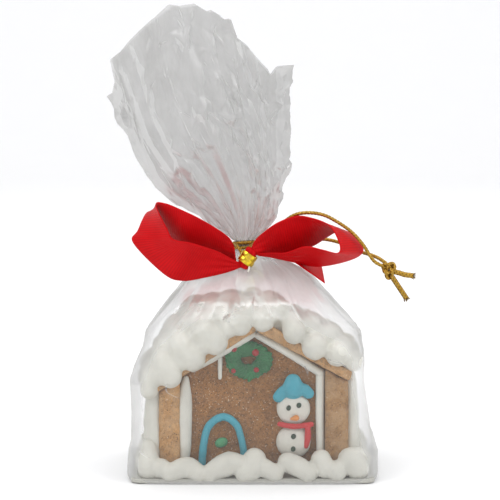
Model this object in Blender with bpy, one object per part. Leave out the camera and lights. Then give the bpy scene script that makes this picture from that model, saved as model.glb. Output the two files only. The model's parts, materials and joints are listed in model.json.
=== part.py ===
"""Gingerbread house in its clear gift bag, with a ribbon bow, a gold tie and a gold hanging cord.

Blender 4.5, metres, +Z up. The pack stands on the ground with the house's gable facing -Y, and its
origin lies on the ground under the middle of the bag. The bag is one solid out to its film: the board,
the house and its icing fill its lower part, and its gathered top fans out above the tie.
"""

import math

import bmesh
import bpy
from mathutils import Vector

MM = 0.001

# Places below are in millimetres from the house's own axis, which stands a little right of the origin
# because the fanned top leans left.
HOUSE_AXIS_X = 4.8

# The bag: height, reach to the left and to the right of the house's axis, reach to front and back,
# and how square the section is (2 is an ellipse, 8 is nearly a box).
BAG_SECTIONS = (
    (0.0, 46.5, 46.0, 37.0, 8.0),
    (2.0, 47.0, 46.5, 38.0, 8.0),
    (10.0, 46.5, 46.5, 38.0, 7.0),
    (13.0, 45.5, 44.5, 37.5, 7.0),
    (24.0, 45.5, 43.0, 37.0, 6.5),
    (36.0, 46.0, 41.5, 36.5, 6.0),
    (46.0, 41.5, 41.5, 36.5, 6.0),
    (53.0, 40.0, 40.0, 36.5, 4.0),
    (60.0, 34.5, 33.5, 35.5, 2.8),
    (66.0, 30.0, 28.5, 30.0, 2.4),
    (72.0, 25.0, 23.0, 18.0, 2.3),
    (76.0, 20.0, 18.0, 10.0, 2.2),
    (80.0, 13.0, 10.5, 4.8, 2.1),
)
BAG_SIDE_STEPS = 28  # steps along the front, and as many along the back
TENT_START = 53.0  # above this height the film is drawn in towards the tie
TENT_FLUTES = 10
TENT_FLUTE_DEPTH = 0.04

NECK_X = -3.5
NECK_RADIUS = 2.9
NECK_LOW = 84.0
NECK_HIGH = 86.5

# The fanned top: direction of each rim point from the vertical, and its distance from the neck.
RIM = (
    (-44.0, 75.0),
    (-36.0, 85.0),
    (-28.0, 87.0),
    (-21.0, 91.0),
    (-17.0, 93.0),
    (-11.5, 91.5),
    (-6.0, 85.5),
    (-2.0, 77.0),
    (3.0, 71.5),
    (9.0, 63.5),
    (11.0, 67.0),
    (16.0, 69.0),
)
FAN_RINGS = 14
FAN_DEPTH = 16.0  # reach to front and back at the fan's fullest
FAN_FULL_AT = 0.7  # share of the way from neck to rim
FAN_LEFT_BULGE = 15.0  # degrees that the left edge leans out below the rim
FAN_RIGHT_BULGE = 45.0
PLEATS = 4.5
PLEAT_DEPTH = 2.4
BACK_RIM_SHARE = 0.97  # the back sheet is cut a little lower

# The fan's open mouth: a hollow between its two sheets, from the rim down towards the tie.
MOUTH_WALL = 1.6
MOUTH_WIDTH_SHARE = 0.84  # of the fan's width
MOUTH_FLOOR = 0.3  # share of the way from neck to rim where the sheets meet
MOUTH_REACHES = (1.0, 0.85, 0.7, 0.55, 0.42, 0.33)

# The bow: rulings across the ribbon as (front edge, back edge), from the tie round each loop and back.
RIBBON_THICKNESS = 0.8
LEFT_LOOP = (
    ((-3.4, -9.3, 78.4), (-3.8, -8.9, 78.0)),
    ((-6.4, -10.8, 80.0), (-6.4, -9.4, 78.2)),
    ((-7.5, -13.0, 87.0), (-6.5, -8.5, 80.0)),
    ((-11.0, -15.5, 91.0), (-9.0, -8.0, 80.5)),
    ((-19.5, -18.5, 96.5), (-16.5, -7.5, 81.5)),
    ((-26.5, -19.5, 100.0), (-24.5, -9.0, 84.0)),
    ((-32.5, -20.5, 102.5), (-32.0, -5.5, 88.5)),
    ((-36.0, -21.0, 102.0), (-39.0, -3.5, 98.0)),
    ((-32.0, -20.0, 93.0), (-43.5, -6.5, 91.0)),
    ((-29.5, -20.0, 89.0), (-45.0, -9.0, 86.5)),
    ((-23.5, -21.5, 88.0), (-33.5, -10.5, 75.0)),
    ((-18.5, -21.0, 86.4), (-26.5, -11.0, 72.5)),
    ((-13.5, -17.5, 84.4), (-18.0, -14.0, 74.0)),
    ((-8.5, -13.6, 81.4), (-9.0, -12.5, 76.0)),
    ((-3.5, -11.0, 78.5), (-3.7, -10.6, 78.0)),
)
RIGHT_LOOP = (
    ((-1.0, -11.2, 84.0), (-1.0, -10.9, 83.6)),
    ((0.8, -13.0, 88.0), (2.2, -10.6, 82.9)),
    ((5.0, -15.5, 92.0), (7.0, -7.5, 82.2)),
    ((9.0, -18.0, 95.0), (11.5, -6.5, 82.5)),
    ((14.5, -19.0, 97.3), (17.5, -6.5, 83.0)),
    ((19.5, -19.5, 97.5), (23.5, -5.5, 85.5)),
    ((28.0, -20.0, 94.4), (33.5, -3.5, 90.8)),
    ((32.0, -20.0, 87.6), (40.5, -4.0, 86.4)),
    ((31.5, -20.0, 84.0), (41.0, -4.5, 82.0)),
    ((26.0, -20.5, 85.2), (34.0, -6.0, 79.0)),
    ((19.5, -19.5, 86.4), (23.5, -7.5, 77.6)),
    ((12.5, -16.0, 84.0), (13.5, -9.0, 80.0)),
    ((6.5, -13.0, 83.5), (7.0, -10.0, 81.5)),
    ((2.5, -11.0, 83.0), (2.6, -9.6, 82.0)),
    ((-0.8, -10.0, 83.3), (-0.7, -9.6, 82.9)),
)
TAIL = (
    ((-0.8, -9.2, 83.3), (-0.7, -8.5, 83.4)),
    ((3.5, -7.8, 82.0), (4.0, -5.8, 82.8)),
    ((13.5, -8.0, 80.0), (14.0, 3.0, 81.5)),
    ((20.0, -7.0, 76.5), (20.0, 9.0, 79.5)),
    ((27.0, -6.0, 71.5), (25.0, 10.0, 77.5)),
)
LOOP_STEPS = 34
TAIL_STEPS = 10

# The pinched middle of the bow and the gold band wound round it.
PINCH_CENTRE = (-2.2, -9.9, 81.0)
PINCH_LEAN = 30.0  # degrees of the pinch's axis from the vertical, its top to the right
PINCH_HALF_LENGTH = 4.4
PINCH_RADIUS = 2.1
BAND_WIDTH = 4.2
BAND_THICKNESS = 0.6
GAP = 0.3  # clearance between pieces that touch in the real pack

# The gold cord: two turns round the neck, two strands to a knot, and two short ends.
CORD_DIAMETER = 1.4
NECK_CORD_RADIUS = NECK_RADIUS + GAP + CORD_DIAMETER / 2
NECK_CORD_HEIGHT = 85.2
CORD_STEP = 3.5  # distance between a strand's points
UPPER_STRAND = (
    (1.6, -0.8, 85.6),
    (5.5, -4.5, 88.6),
    (10.0, -10.0, 93.2),
    (14.9, -14.5, 97.4),
    (20.1, -15.5, 98.6),
    (26.4, -14.0, 97.6),
    (32.6, -12.0, 94.2),
    (37.5, -10.0, 90.4),
    (41.4, -8.5, 85.9),
    (43.8, -7.6, 82.1),
    (45.8, -7.0, 79.2),
    (48.0, -6.6, 77.9),
)
LOWER_STRAND = (
    (1.5, 1.4, 85.2),
    (8.0, 4.0, 85.6),
    (17.0, 4.4, 86.6),
    (27.0, 3.4, 86.8),
    (35.0, 2.0, 85.0),
    (41.0, 0.2, 82.3),
    (44.6, -2.0, 81.4),
    (47.4, -4.0, 80.6),
    (49.6, -5.2, 79.8),
)
KNOT_CENTRE = (51.3, -6.2, 76.2)
KNOT_SIZE = (0.72, 0.95, 0.88)  # scale of the trefoil across, through and up
KNOT_CORD = 1.3
CORD_END_DIAMETER = 2.0
UPPER_END = ((54.6, -6.2, 75.0), (57.4, -6.4, 74.3), (60.4, -6.3, 73.9))
LOWER_END = ((53.0, -6.2, 72.4), (55.4, -6.4, 69.2), (58.0, -6.3, 65.3))


def place(point):
    """A place given in millimetres from the house's axis, as a world position."""
    return Vector(((point[0] + HOUSE_AXIS_X) * MM, point[1] * MM, point[2] * MM))


def make_material(name, colour, roughness, metallic=0.0, alpha=1.0):
    material = bpy.data.materials.new(name)
    material.use_nodes = True
    shader = material.node_tree.nodes["Principled BSDF"]
    shader.inputs["Base Color"].default_value = (*colour, 1.0)
    shader.inputs["Roughness"].default_value = roughness
    shader.inputs["Metallic"].default_value = metallic
    shader.inputs["Alpha"].default_value = alpha
    return material


def add_mesh_object(name, bm, material, smooth_angle=40.0):
    """Closes the bmesh into a named object that is smooth except at its sharp edges."""
    bmesh.ops.recalc_face_normals(bm, faces=bm.faces)
    mesh = bpy.data.meshes.new(name)
    bm.to_mesh(mesh)
    bm.free()
    mesh.shade_smooth()
    mesh.set_sharp_from_angle(angle=math.radians(smooth_angle))
    mesh.materials.append(material)
    obj = bpy.data.objects.new(name, mesh)
    bpy.context.scene.collection.objects.link(obj)
    return obj


def blend(low, high, share):
    return low + (high - low) * share


def look_up(rows, value):
    """Linear reading of the rows' other columns at a value of their first one."""
    if value <= rows[0][0]:
        return rows[0][1:]
    for below, above in zip(rows, rows[1:]):
        if value <= above[0]:
            share = (value - below[0]) / (above[0] - below[0])
            return tuple(blend(a, b, share) for a, b in zip(below[1:], above[1:]))
    return rows[-1][1:]


def smooth_path(points, share):
    """Catmull-Rom position along a list of equal-length tuples, share running from 0 to 1."""
    spans = len(points) - 1
    span = min(int(share * spans), spans - 1)
    t = share * spans - span
    before = points[max(span - 1, 0)]
    start, end = points[span], points[span + 1]
    after = points[min(span + 2, spans)]
    return tuple(
        0.5
        * (
            2 * b
            + (c - a) * t
            + (2 * a - 5 * b + 4 * c - d) * t * t
            + (3 * b - a - 3 * c + d) * t * t * t
        )
        for a, b, c, d in zip(before, start, end, after)
    )


def signed_power(value, power):
    return math.copysign(abs(value) ** power, value)


# ---------------------------------------------------------------- the bag


def ring_angles():
    """Angles round the bag from its left edge along the front, then back along the rear."""
    return [math.pi * (step / BAG_SIDE_STEPS - 0.5) for step in range(2 * BAG_SIDE_STEPS)]


def lower_ring(height):
    """One level section of the bag below the neck."""
    left, right, depth, square = look_up(BAG_SECTIONS, height)
    rise = max(0.0, (height - TENT_START) / (NECK_LOW - TENT_START))
    centre = NECK_X * rise**2
    ring = []
    for angle in ring_angles():
        across = signed_power(math.sin(angle), 2 / square)
        along = signed_power(math.cos(angle), 2 / square)
        flute = 1 + TENT_FLUTE_DEPTH * math.sin(math.pi * rise) * math.cos(TENT_FLUTES * angle + 0.8)
        half_width = right - centre if across > 0 else left + centre
        ring.append((centre + half_width * across * flute, -depth * along * flute, height))
    return ring


def neck_ring(height):
    return [
        (NECK_X + NECK_RADIUS * math.sin(angle), -NECK_RADIUS * math.cos(angle), height)
        for angle in ring_angles()
    ]


def fan_point(angle, reach):
    """A point of the fanned top: angle round the neck, and share of the way from neck to rim."""
    front = math.cos(angle) > -1e-9
    share = 0.5 + (angle / math.pi if front else 1 - angle / math.pi)
    lean = blend(RIM[0][0], RIM[-1][0], share)
    (length,) = look_up(RIM, lean)
    if not front:
        length *= BACK_RIM_SHARE
    rising = min(1.0, max(0.0, (reach - 0.35) / 0.65))
    left = RIM[0][0] - FAN_LEFT_BULGE * (1 - rising * rising * (3 - 2 * rising))
    right = RIM[-1][0] + FAN_RIGHT_BULGE * (1 - reach) ** 2
    direction = math.radians(blend(left, right, share))
    fullness = math.sin(math.pi / 2 * min(1.0, reach / FAN_FULL_AT))
    body = math.sin(math.pi * share) ** 0.7
    phase = 0.6 if front else 2.4
    pleat = PLEAT_DEPTH * reach * math.sin(2 * math.pi * PLEATS * share + phase) * body
    depth = NECK_RADIUS * abs(math.cos(angle)) * (1 - reach) + FAN_DEPTH * fullness * body + pleat
    x = NECK_X + NECK_RADIUS * math.sin(angle) * (1 - reach) + length * reach * math.sin(direction)
    z = NECK_HIGH + length * reach * math.cos(direction)
    return (x, -depth if front else depth, z)


def fan_ring(reach):
    return [fan_point(angle, reach) for angle in ring_angles()]


def mouth_ring(reach):
    """The inside of the fan's sheets: a narrower ring that closes towards the mouth's floor."""
    taper = math.sqrt((reach - MOUTH_FLOOR) / (1 - MOUTH_FLOOR))
    ring = []
    for step, angle in enumerate(ring_angles()):
        middle = 0.0 if step <= BAG_SIDE_STEPS else math.pi
        x, y, z = fan_point(middle + (angle - middle) * MOUTH_WIDTH_SHARE, reach)
        inner = math.copysign(max(0.4, (abs(y) - MOUTH_WALL) * taper), y)
        ring.append((x, 0.0 if step % BAG_SIDE_STEPS == 0 else inner, z))
    return ring


def extrude_to(bm, edges, ring):
    """Extrudes a closed loop of edges and moves each new corner to its place in the next ring."""
    old = {vert: vert.index for edge in edges for vert in edge.verts}
    made = bmesh.ops.extrude_edge_only(bm, edges=edges)["geom"]
    new_verts = [item for item in made if isinstance(item, bmesh.types.BMVert)]
    for vert in new_verts:
        below = next(e.other_vert(vert) for e in vert.link_edges if e.other_vert(vert) in old)
        vert.index = old[below]
        vert.co = place(ring[vert.index])
    fresh = set(new_verts)
    return [e for v in new_verts for e in v.link_edges if fresh.issuperset(e.verts) and e.verts[0] is v]


def build_bag(material):
    rings = [lower_ring(row[0]) for row in BAG_SECTIONS]
    rings += [neck_ring(NECK_LOW), neck_ring(NECK_HIGH)]
    rings += [fan_ring(((step + 1) / FAN_RINGS) ** 1.2) for step in range(FAN_RINGS)]
    rings += [mouth_ring(reach) for reach in MOUTH_REACHES]
    bm = bmesh.new()
    count = 2 * BAG_SIDE_STEPS
    base = bmesh.ops.create_circle(bm, segments=count, radius=1.0, cap_ends=True)["verts"]
    for index, vert in enumerate(base):
        vert.index = index
        vert.co = place(rings[0][index])
    edges = list({edge for vert in base for edge in vert.link_edges})
    for ring in rings[1:]:
        edges = extrude_to(bm, edges, ring)
    floor = {vert.index: vert for edge in edges for vert in edge.verts}
    for step in range(BAG_SIDE_STEPS):
        corners = {floor[step], floor[step + 1], floor[-(step + 1) % count], floor[-step % count]}
        bmesh.ops.contextual_create(bm, geom=list(corners))
    return add_mesh_object("bag", bm, material, smooth_angle=55.0)


# ---------------------------------------------------------------- the bow


def ribbon_stations(rulings, steps):
    """(front edge, back edge, face normal) at even steps along the ribbon."""
    rows = [(*front, *back) for front, back in rulings]
    edges = []
    for step in range(steps + 1):
        row = smooth_path(rows, step / steps)
        edges.append((Vector(row[:3]), Vector(row[3:])))
    stations = []
    for index, (front, back) in enumerate(edges):
        before = edges[max(index - 1, 0)]
        after = edges[min(index + 1, steps)]
        along = (after[0] + after[1]) - (before[0] + before[1])
        stations.append((front, back, along.cross(back - front).normalized()))
    return stations


def ribbon_strip(name, rulings, steps, material):
    """A ribbon of even thickness through the rulings, closed at both ends."""
    bm = bmesh.new()
    section = bmesh.ops.create_circle(bm, segments=8, radius=1.0, cap_ends=True)["verts"]
    shares = (0.0, 1 / 3, 2 / 3, 1.0)

    def section_points(station):
        front, back, normal = station
        lift = normal * RIBBON_THICKNESS / 2
        outer = [front.lerp(back, share) + lift for share in shares]
        inner = [front.lerp(back, share) - lift for share in reversed(shares)]
        return outer + inner

    stations = ribbon_stations(rulings, steps)
    for index, (vert, point) in enumerate(zip(section, section_points(stations[0]))):
        vert.index = index
        vert.co = place(point)
    edges = list({edge for vert in section for edge in vert.link_edges})
    for station in stations[1:]:
        edges = extrude_to(bm, edges, section_points(station))
    bmesh.ops.contextual_create(bm, geom=edges)
    return add_mesh_object(name, bm, material)


def pinch_frame(obj):
    """Stands a piece made round its own Z axis on the pinch's centre and axis."""
    obj.location = place(PINCH_CENTRE)
    obj.rotation_euler = (0.0, math.radians(PINCH_LEAN), 0.0)
    return obj


def build_bow(material):
    """The knot of gathered ribbon with both loops and the tail grown out of it as one body."""
    bm = bmesh.new()
    bmesh.ops.create_uvsphere(bm, u_segments=16, v_segments=12, radius=1.0)
    size = Vector((PINCH_RADIUS, PINCH_RADIUS, PINCH_HALF_LENGTH)) * MM
    bmesh.ops.scale(bm, vec=size, verts=bm.verts)
    bow = pinch_frame(add_mesh_object("ribbon_bow", bm, material))
    limbs = (
        ribbon_strip("left_loop", LEFT_LOOP, LOOP_STEPS, material),
        ribbon_strip("right_loop", RIGHT_LOOP, LOOP_STEPS, material),
        ribbon_strip("tail", TAIL, TAIL_STEPS, material),
    )
    for limb in limbs:
        limb.hide_render = True
        limb.display_type = "WIRE"
        join = bow.modifiers.new(limb.name, "BOOLEAN")
        join.operation = "UNION"
        join.object = limb
    return bow


def build_tie_band(material):
    """The flat gold band: a short turned tube round the pinch."""
    inner = PINCH_RADIUS + GAP
    outer = inner + BAND_THICKNESS
    half = BAND_WIDTH / 2
    bm = bmesh.new()
    profile = [bm.verts.new(Vector(p) * MM) for p in ((inner, 0, -half), (outer, 0, -half))]
    profile += [bm.verts.new(Vector(p) * MM) for p in ((outer, 0, half), (inner, 0, half))]
    edges = [bm.edges.new((a, b)) for a, b in zip(profile, profile[1:] + profile[:1])]
    bmesh.ops.spin(
        bm,
        geom=edges,
        axis=(0, 0, 1),
        cent=(0, 0, 0),
        steps=28,
        angle=2 * math.pi,
        use_merge=True,
    )
    bmesh.ops.remove_doubles(bm, verts=bm.verts, dist=1e-6)
    return pinch_frame(add_mesh_object("tie_band", bm, material))


# ---------------------------------------------------------------- the gold cord


def cord_tube(name, points, diameter, material, closed=False):
    """A round cord as a bevelled poly curve with filled ends."""
    curve = bpy.data.curves.new(name, "CURVE")
    curve.dimensions = "3D"
    curve.bevel_depth = diameter / 2 * MM
    curve.bevel_resolution = 2
    curve.use_fill_caps = not closed
    spline = curve.splines.new("POLY")
    spline.points.add(len(points) - 1)
    for spot, point in zip(spline.points, points):
        spot.co = (*place(point), 1.0)
    spline.use_cyclic_u = closed
    spline.use_smooth = True
    curve.materials.append(material)
    obj = bpy.data.objects.new(name, curve)
    bpy.context.scene.collection.objects.link(obj)
    return obj


def route_points(route, step):
    """Points a given distance apart, near enough, on the smooth curve through a route."""
    fine = [Vector(smooth_path(route, index / 400)) for index in range(401)]
    length = sum((b - a).length for a, b in zip(fine, fine[1:]))
    count = max(2, round(length / step))
    points, run = [fine[0]], 0.0
    for a, b in zip(fine, fine[1:]):
        run += (b - a).length
        if run >= len(points) * length / count - 1e-9 and len(points) < count:
            points.append(b)
    return points + [fine[-1]]


def build_neck_cord(material):
    """The cord's turn round the gathered neck."""
    turn = []
    for step in range(24):
        angle = 2 * math.pi * step / 24
        x = NECK_X + NECK_CORD_RADIUS * math.sin(angle)
        turn.append((x, -NECK_CORD_RADIUS * math.cos(angle), NECK_CORD_HEIGHT))
    return cord_tube("neck_cord", turn, CORD_DIAMETER, material, closed=True)


def build_knot(material):
    """The overhand knot: a trefoil of the cord, its crossings just clear of each other."""
    across, through, up = KNOT_SIZE
    turn = []
    for step in range(36):
        t = 2 * math.pi * step / 36
        x = KNOT_CENTRE[0] + across * (math.sin(t) + 2 * math.sin(2 * t))
        y = KNOT_CENTRE[1] - through * math.sin(3 * t)
        z = KNOT_CENTRE[2] + up * (math.cos(t) - 2 * math.cos(2 * t))
        turn.append((x, y, z))
    return cord_tube("cord_knot", turn, KNOT_CORD, material, closed=True)


def build_cord(material):
    build_neck_cord(material)
    strands = (("cord_strand_upper", UPPER_STRAND), ("cord_strand_lower", LOWER_STRAND))
    for name, route in strands:
        cord_tube(name, route_points(route, CORD_STEP), CORD_DIAMETER, material)
    build_knot(material)
    for name, route in (("cord_end_upper", UPPER_END), ("cord_end_lower", LOWER_END)):
        cord_tube(name, route_points(route, CORD_END_DIAMETER), CORD_END_DIAMETER, material)


def main():
    for obj in list(bpy.data.objects):
        bpy.data.objects.remove(obj, do_unlink=True)
    film = make_material("clear film", (0.86, 0.87, 0.88), 0.2, alpha=0.45)
    ribbon = make_material("red ribbon", (0.62, 0.02, 0.03), 0.5)
    gold = make_material("gold", (0.80, 0.60, 0.16), 0.35, metallic=1.0)
    build_bag(film)
    build_bow(ribbon)
    build_tie_band(gold)
    build_cord(gold)


main()
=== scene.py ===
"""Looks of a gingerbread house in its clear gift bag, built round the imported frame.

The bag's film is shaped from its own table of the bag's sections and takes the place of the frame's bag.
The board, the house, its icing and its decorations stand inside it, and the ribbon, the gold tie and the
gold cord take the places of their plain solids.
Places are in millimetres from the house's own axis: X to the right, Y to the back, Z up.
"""

import json
import math
import random

import bmesh
import bpy
from bpy.props import FloatProperty, FloatVectorProperty, IntProperty, PointerProperty
from mathutils import Matrix, Vector, noise


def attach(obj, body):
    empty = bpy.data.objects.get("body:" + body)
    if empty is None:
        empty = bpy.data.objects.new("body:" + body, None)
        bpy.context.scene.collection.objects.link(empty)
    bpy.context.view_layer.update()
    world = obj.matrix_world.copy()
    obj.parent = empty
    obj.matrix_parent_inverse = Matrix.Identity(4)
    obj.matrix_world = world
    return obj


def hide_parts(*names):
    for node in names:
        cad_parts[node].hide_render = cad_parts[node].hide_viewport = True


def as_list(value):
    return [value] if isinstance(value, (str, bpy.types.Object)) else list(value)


bl_info = {
    "name": "Gift-wrapped gingerbread house",
    "version": (1, 0, 0),
    "blender": (4, 5, 0),
    "location": "3D View > Sidebar > Gingerbread",
    "description": "Builds the looks of a gingerbread house in its clear gift bag",
    "category": "Object",
}

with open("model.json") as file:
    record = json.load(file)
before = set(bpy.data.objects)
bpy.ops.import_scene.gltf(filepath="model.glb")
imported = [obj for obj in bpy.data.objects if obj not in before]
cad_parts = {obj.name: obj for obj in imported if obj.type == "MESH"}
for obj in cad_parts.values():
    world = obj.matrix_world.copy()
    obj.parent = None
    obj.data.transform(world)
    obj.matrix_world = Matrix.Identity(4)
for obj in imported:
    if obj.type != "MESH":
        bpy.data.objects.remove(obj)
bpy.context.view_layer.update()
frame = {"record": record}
HOUSE_X = frame["record"]["mounts"][0]["pos_m"][0]
MM = 0.001


def place(x, y, z):
    """A place given in millimetres from the house's axis, as a world position."""
    return Vector((HOUSE_X + x * MM, y * MM, z * MM))


# ---------------------------------------------------------------- settings


def colour_property(name, description, default):
    return FloatVectorProperty(
        name=name, description=description, default=default, subtype="COLOR", min=0.0, max=1.0
    )


def length_property(name, description, default):
    return FloatProperty(
        name=name, description=description, default=default, unit="LENGTH", precision=5, min=0.00005
    )


class HouseSettings(bpy.types.PropertyGroup):
    """Colours and fineness of the house and its icing."""

    crust: colour_property("Crust", "Baked face of the gingerbread", (0.294, 0.145, 0.05))
    cut_edge: colour_property("Cut edge", "Paler cut edges of the gingerbread", (0.44, 0.255, 0.108))
    icing: colour_property("Icing", "White icing", (0.72, 0.71, 0.64))
    blue_icing: colour_property("Blue icing", "Door arch and hat", (0.055, 0.37, 0.47))
    green_icing: colour_property("Green icing", "Wreath", (0.022, 0.19, 0.06))
    red_icing: colour_property("Red icing", "Scarf and berries", (0.58, 0.025, 0.028))
    melt_size: length_property("Melt size", "Size of the cells that melt the icing together", 0.0006)


class WrapSettings(bpy.types.PropertyGroup):
    """Sizes and colours of the film, the ribbon and the gold cord."""

    ribbon: colour_property("Ribbon", "Red ribbed satin", (0.62, 0.003, 0.006))
    ribbon_width: length_property("Ribbon width", "Width that the ribbon is woven to", 0.018)
    ribbon_thickness: length_property("Ribbon thickness", "Thickness of the ribbon", 0.0003)
    rib_pitch: length_property("Rib pitch", "Distance between two ribs of the ribbon", 0.0009)
    gold: colour_property("Gold", "Metal of the tie", (0.86, 0.64, 0.04))
    cord_gold: colour_property("Cord gold", "Metal yarn of the cord", (0.44, 0.24, 0.025))
    cord_diameter: length_property("Cord diameter", "Diameter of the hanging cord", 0.0014)
    film: colour_property("Film", "Grey of the clear film", (0.375, 0.37, 0.355))


class StageSettings(bpy.types.PropertyGroup):
    """The floor, the lights and the camera."""

    floor: colour_property("Floor", "Pale floor and backdrop", (0.9, 0.9, 0.9))
    camera_distance: length_property("Camera distance", "From the camera to the pack's middle", 0.9)
    camera_height: FloatProperty(
        name="Camera elevation",
        description="How far above the horizon the camera stands",
        default=math.radians(6.0),
        subtype="ANGLE",
    )
    lens: FloatProperty(
        name="Lens", description="Focal length of the camera", default=170.5, unit="CAMERA", min=10.0
    )


# ---------------------------------------------------------------- shared shapes


def smooth_path(points, share):
    """Catmull-Rom position along a list of equal-length tuples, share running from 0 to 1."""
    spans = len(points) - 1
    span = min(int(share * spans), spans - 1)
    t = share * spans - span
    before = points[max(span - 1, 0)]
    start, end = points[span], points[span + 1]
    after = points[min(span + 2, spans)]
    return tuple(
        0.5
        * (
            2 * b
            + (c - a) * t
            + (2 * a - 5 * b + 4 * c - d) * t * t
            + (3 * b - a - 3 * c + d) * t * t * t
        )
        for a, b, c, d in zip(before, start, end, after)
    )


def path_length(points):
    return sum((Vector(b) - Vector(a)).length for a, b in zip(points, points[1:]))


def even_points(route, count):
    """Evenly spaced places along the smooth curve through a route."""
    fine = [Vector(smooth_path(route, step / 600)) for step in range(601)]
    total = path_length(fine)
    points, run = [fine[0]], 0.0
    for a, b in zip(fine, fine[1:]):
        step = (b - a).length
        while run + step >= len(points) * total / count - 1e-9 and len(points) < count:
            points.append(a.lerp(b, (len(points) * total / count - run) / max(step, 1e-12)))
        run += step
    return points + [fine[-1]]


def new_piece(context, name, bm, materials, replaces=(), smooth_angle=180.0):
    """Makes a named piece of the object from a bmesh and lets it ride on the frame."""
    mesh = bpy.data.meshes.new(name)
    bm.to_mesh(mesh)
    bm.free()
    mesh.shade_smooth()
    if smooth_angle < 180.0:
        mesh.set_sharp_from_angle(angle=math.radians(smooth_angle))
    for material in materials:
        mesh.materials.append(material)
    piece = bpy.data.objects.new(name, mesh)
    context.scene.collection.objects.link(piece)
    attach(piece, "root")
    if replaces:
        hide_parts(*replaces)
    return piece


def apply_modifiers(context, piece):
    """Turns a piece's mesh into what its modifiers make of it."""
    context.view_layer.update()
    plain = piece.data
    graph = context.evaluated_depsgraph_get()
    made = bpy.data.meshes.new_from_object(piece.evaluated_get(graph))
    piece.modifiers.clear()
    piece.data = made
    made.name = piece.name
    bpy.data.meshes.remove(plain)


def mapped_grid(columns, rows, where):
    """A grid laid where the function of (across, along), each from 0 to 1, puts it. It keeps a UV map."""
    bm = bmesh.new()
    bm.loops.layers.uv.new("UVMap")
    bmesh.ops.create_grid(bm, x_segments=columns, y_segments=rows, size=1.0, calc_uvs=True)
    for vert in bm.verts:
        vert.co = where((vert.co.x + 1) / 2, (vert.co.y + 1) / 2)
    return bm


def close_tube(bm):
    """Welds a grid that was bent into a tube and fills its two ends."""
    bmesh.ops.remove_doubles(bm, verts=bm.verts, dist=1e-7)
    open_edges = [edge for edge in bm.edges if edge.is_boundary]
    bmesh.ops.holes_fill(bm, edges=open_edges, sides=0)
    bmesh.ops.recalc_face_normals(bm, faces=bm.faces)


def path_frames(points, closed=False):
    """(place, side, up) along a path, turning as little as it can."""
    count = len(points)
    frames = []
    side = None
    for index, spot in enumerate(points):
        before = points[index - 1] if index or closed else spot
        after = points[(index + 1) % count] if index + 1 < count or closed else spot
        along = (after - before).normalized()
        if side is None:
            side = along.orthogonal().normalized()
        side = (side - along * side.dot(along)).normalized()
        frames.append((spot, side, along.cross(side)))
    return frames


# ---------------------------------------------------------------- shared materials


def start_material(name, colour, roughness, **sockets):
    """A node material; sockets are the shader's other plain values, by name with underscores."""
    material = bpy.data.materials.new(name)
    material.use_nodes = True
    shader = material.node_tree.nodes["Principled BSDF"]
    shader.inputs["Base Color"].default_value = (*colour, 1.0)
    shader.inputs["Roughness"].default_value = roughness
    for socket, value in sockets.items():
        shader.inputs[socket.replace("_", " ")].default_value = value
    return material, material.node_tree, shader


def add_node(tree, kind, inputs=None, **settings):
    """Adds a node, sets its properties, and fills its inputs with values or with other nodes' outputs."""
    node = tree.nodes.new(kind)
    for name, value in settings.items():
        setattr(node, name, value)
    for socket, value in (inputs or {}).items():
        if isinstance(value, bpy.types.NodeSocket):
            tree.links.new(value, node.inputs[socket])
        else:
            node.inputs[socket].default_value = value
    return node


def object_place(tree):
    return add_node(tree, "ShaderNodeTexCoord").outputs["Object"]


def add_noise(tree, vector, size_mm, detail=2.0, roughness=0.5):
    """Noise whose features are about that many millimetres across."""
    inputs = {"Vector": vector, "Scale": 1.0 / (size_mm * MM), "Detail": detail, "Roughness": roughness}
    return add_node(tree, "ShaderNodeTexNoise", inputs).outputs["Fac"]


def add_ramp(tree, factor, low, high, low_colour=(0, 0, 0), high_colour=(1, 1, 1)):
    """A two-stop colour ramp between two readings of a factor."""
    ramp = add_node(tree, "ShaderNodeValToRGB", {"Fac": factor})
    stops = ramp.color_ramp.elements
    stops[0].position, stops[1].position = low, high
    stops[0].color, stops[1].color = (*low_colour, 1), (*high_colour, 1)
    return ramp.outputs["Color"]


def mix_colours(tree, factor, first, second):
    """Mixes two colours or colour outputs by a factor."""
    node = add_node(tree, "ShaderNodeMix", data_type="RGBA")
    for socket, value in ((0, factor), (6, first), (7, second)):
        if isinstance(value, bpy.types.NodeSocket):
            tree.links.new(value, node.inputs[socket])
        elif socket == 0:
            node.inputs[socket].default_value = value
        else:
            node.inputs[socket].default_value = (*value, 1.0)
    return node.outputs[2]


def add_bump(tree, shader, height, depth_mm, strength=1.0):
    bump = add_node(
        tree, "ShaderNodeBump", {"Height": height, "Distance": depth_mm * MM, "Strength": strength}
    )
    tree.links.new(bump.outputs["Normal"], shader.inputs["Normal"])
    return bump


# ---------------------------------------------------------------- camera and gold cord

PACK_MIDDLE = (-1.14, 0.0, 83.0)  # what the camera looks at


class GIFT_OT_camera(bpy.types.Operator):
    """Place the camera a little above the pack's middle"""

    bl_idname = "gift.camera"
    bl_label = "Camera"

    def execute(self, context):
        stage = context.scene.gift_stage
        camera = bpy.data.objects.new("camera", bpy.data.cameras.new("camera"))
        context.scene.collection.objects.link(camera)
        rise = stage.camera_height
        back = Vector((0.0, -math.cos(rise), math.sin(rise)))
        camera.location = place(*PACK_MIDDLE) + back * stage.camera_distance
        camera.rotation_euler = (math.pi / 2 - rise, 0.0, 0.0)
        camera.data.lens = stage.lens
        camera.data.clip_start = 0.05
        camera.data.clip_end = 20.0
        context.scene.camera = camera
        return {"FINISHED"}


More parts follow.
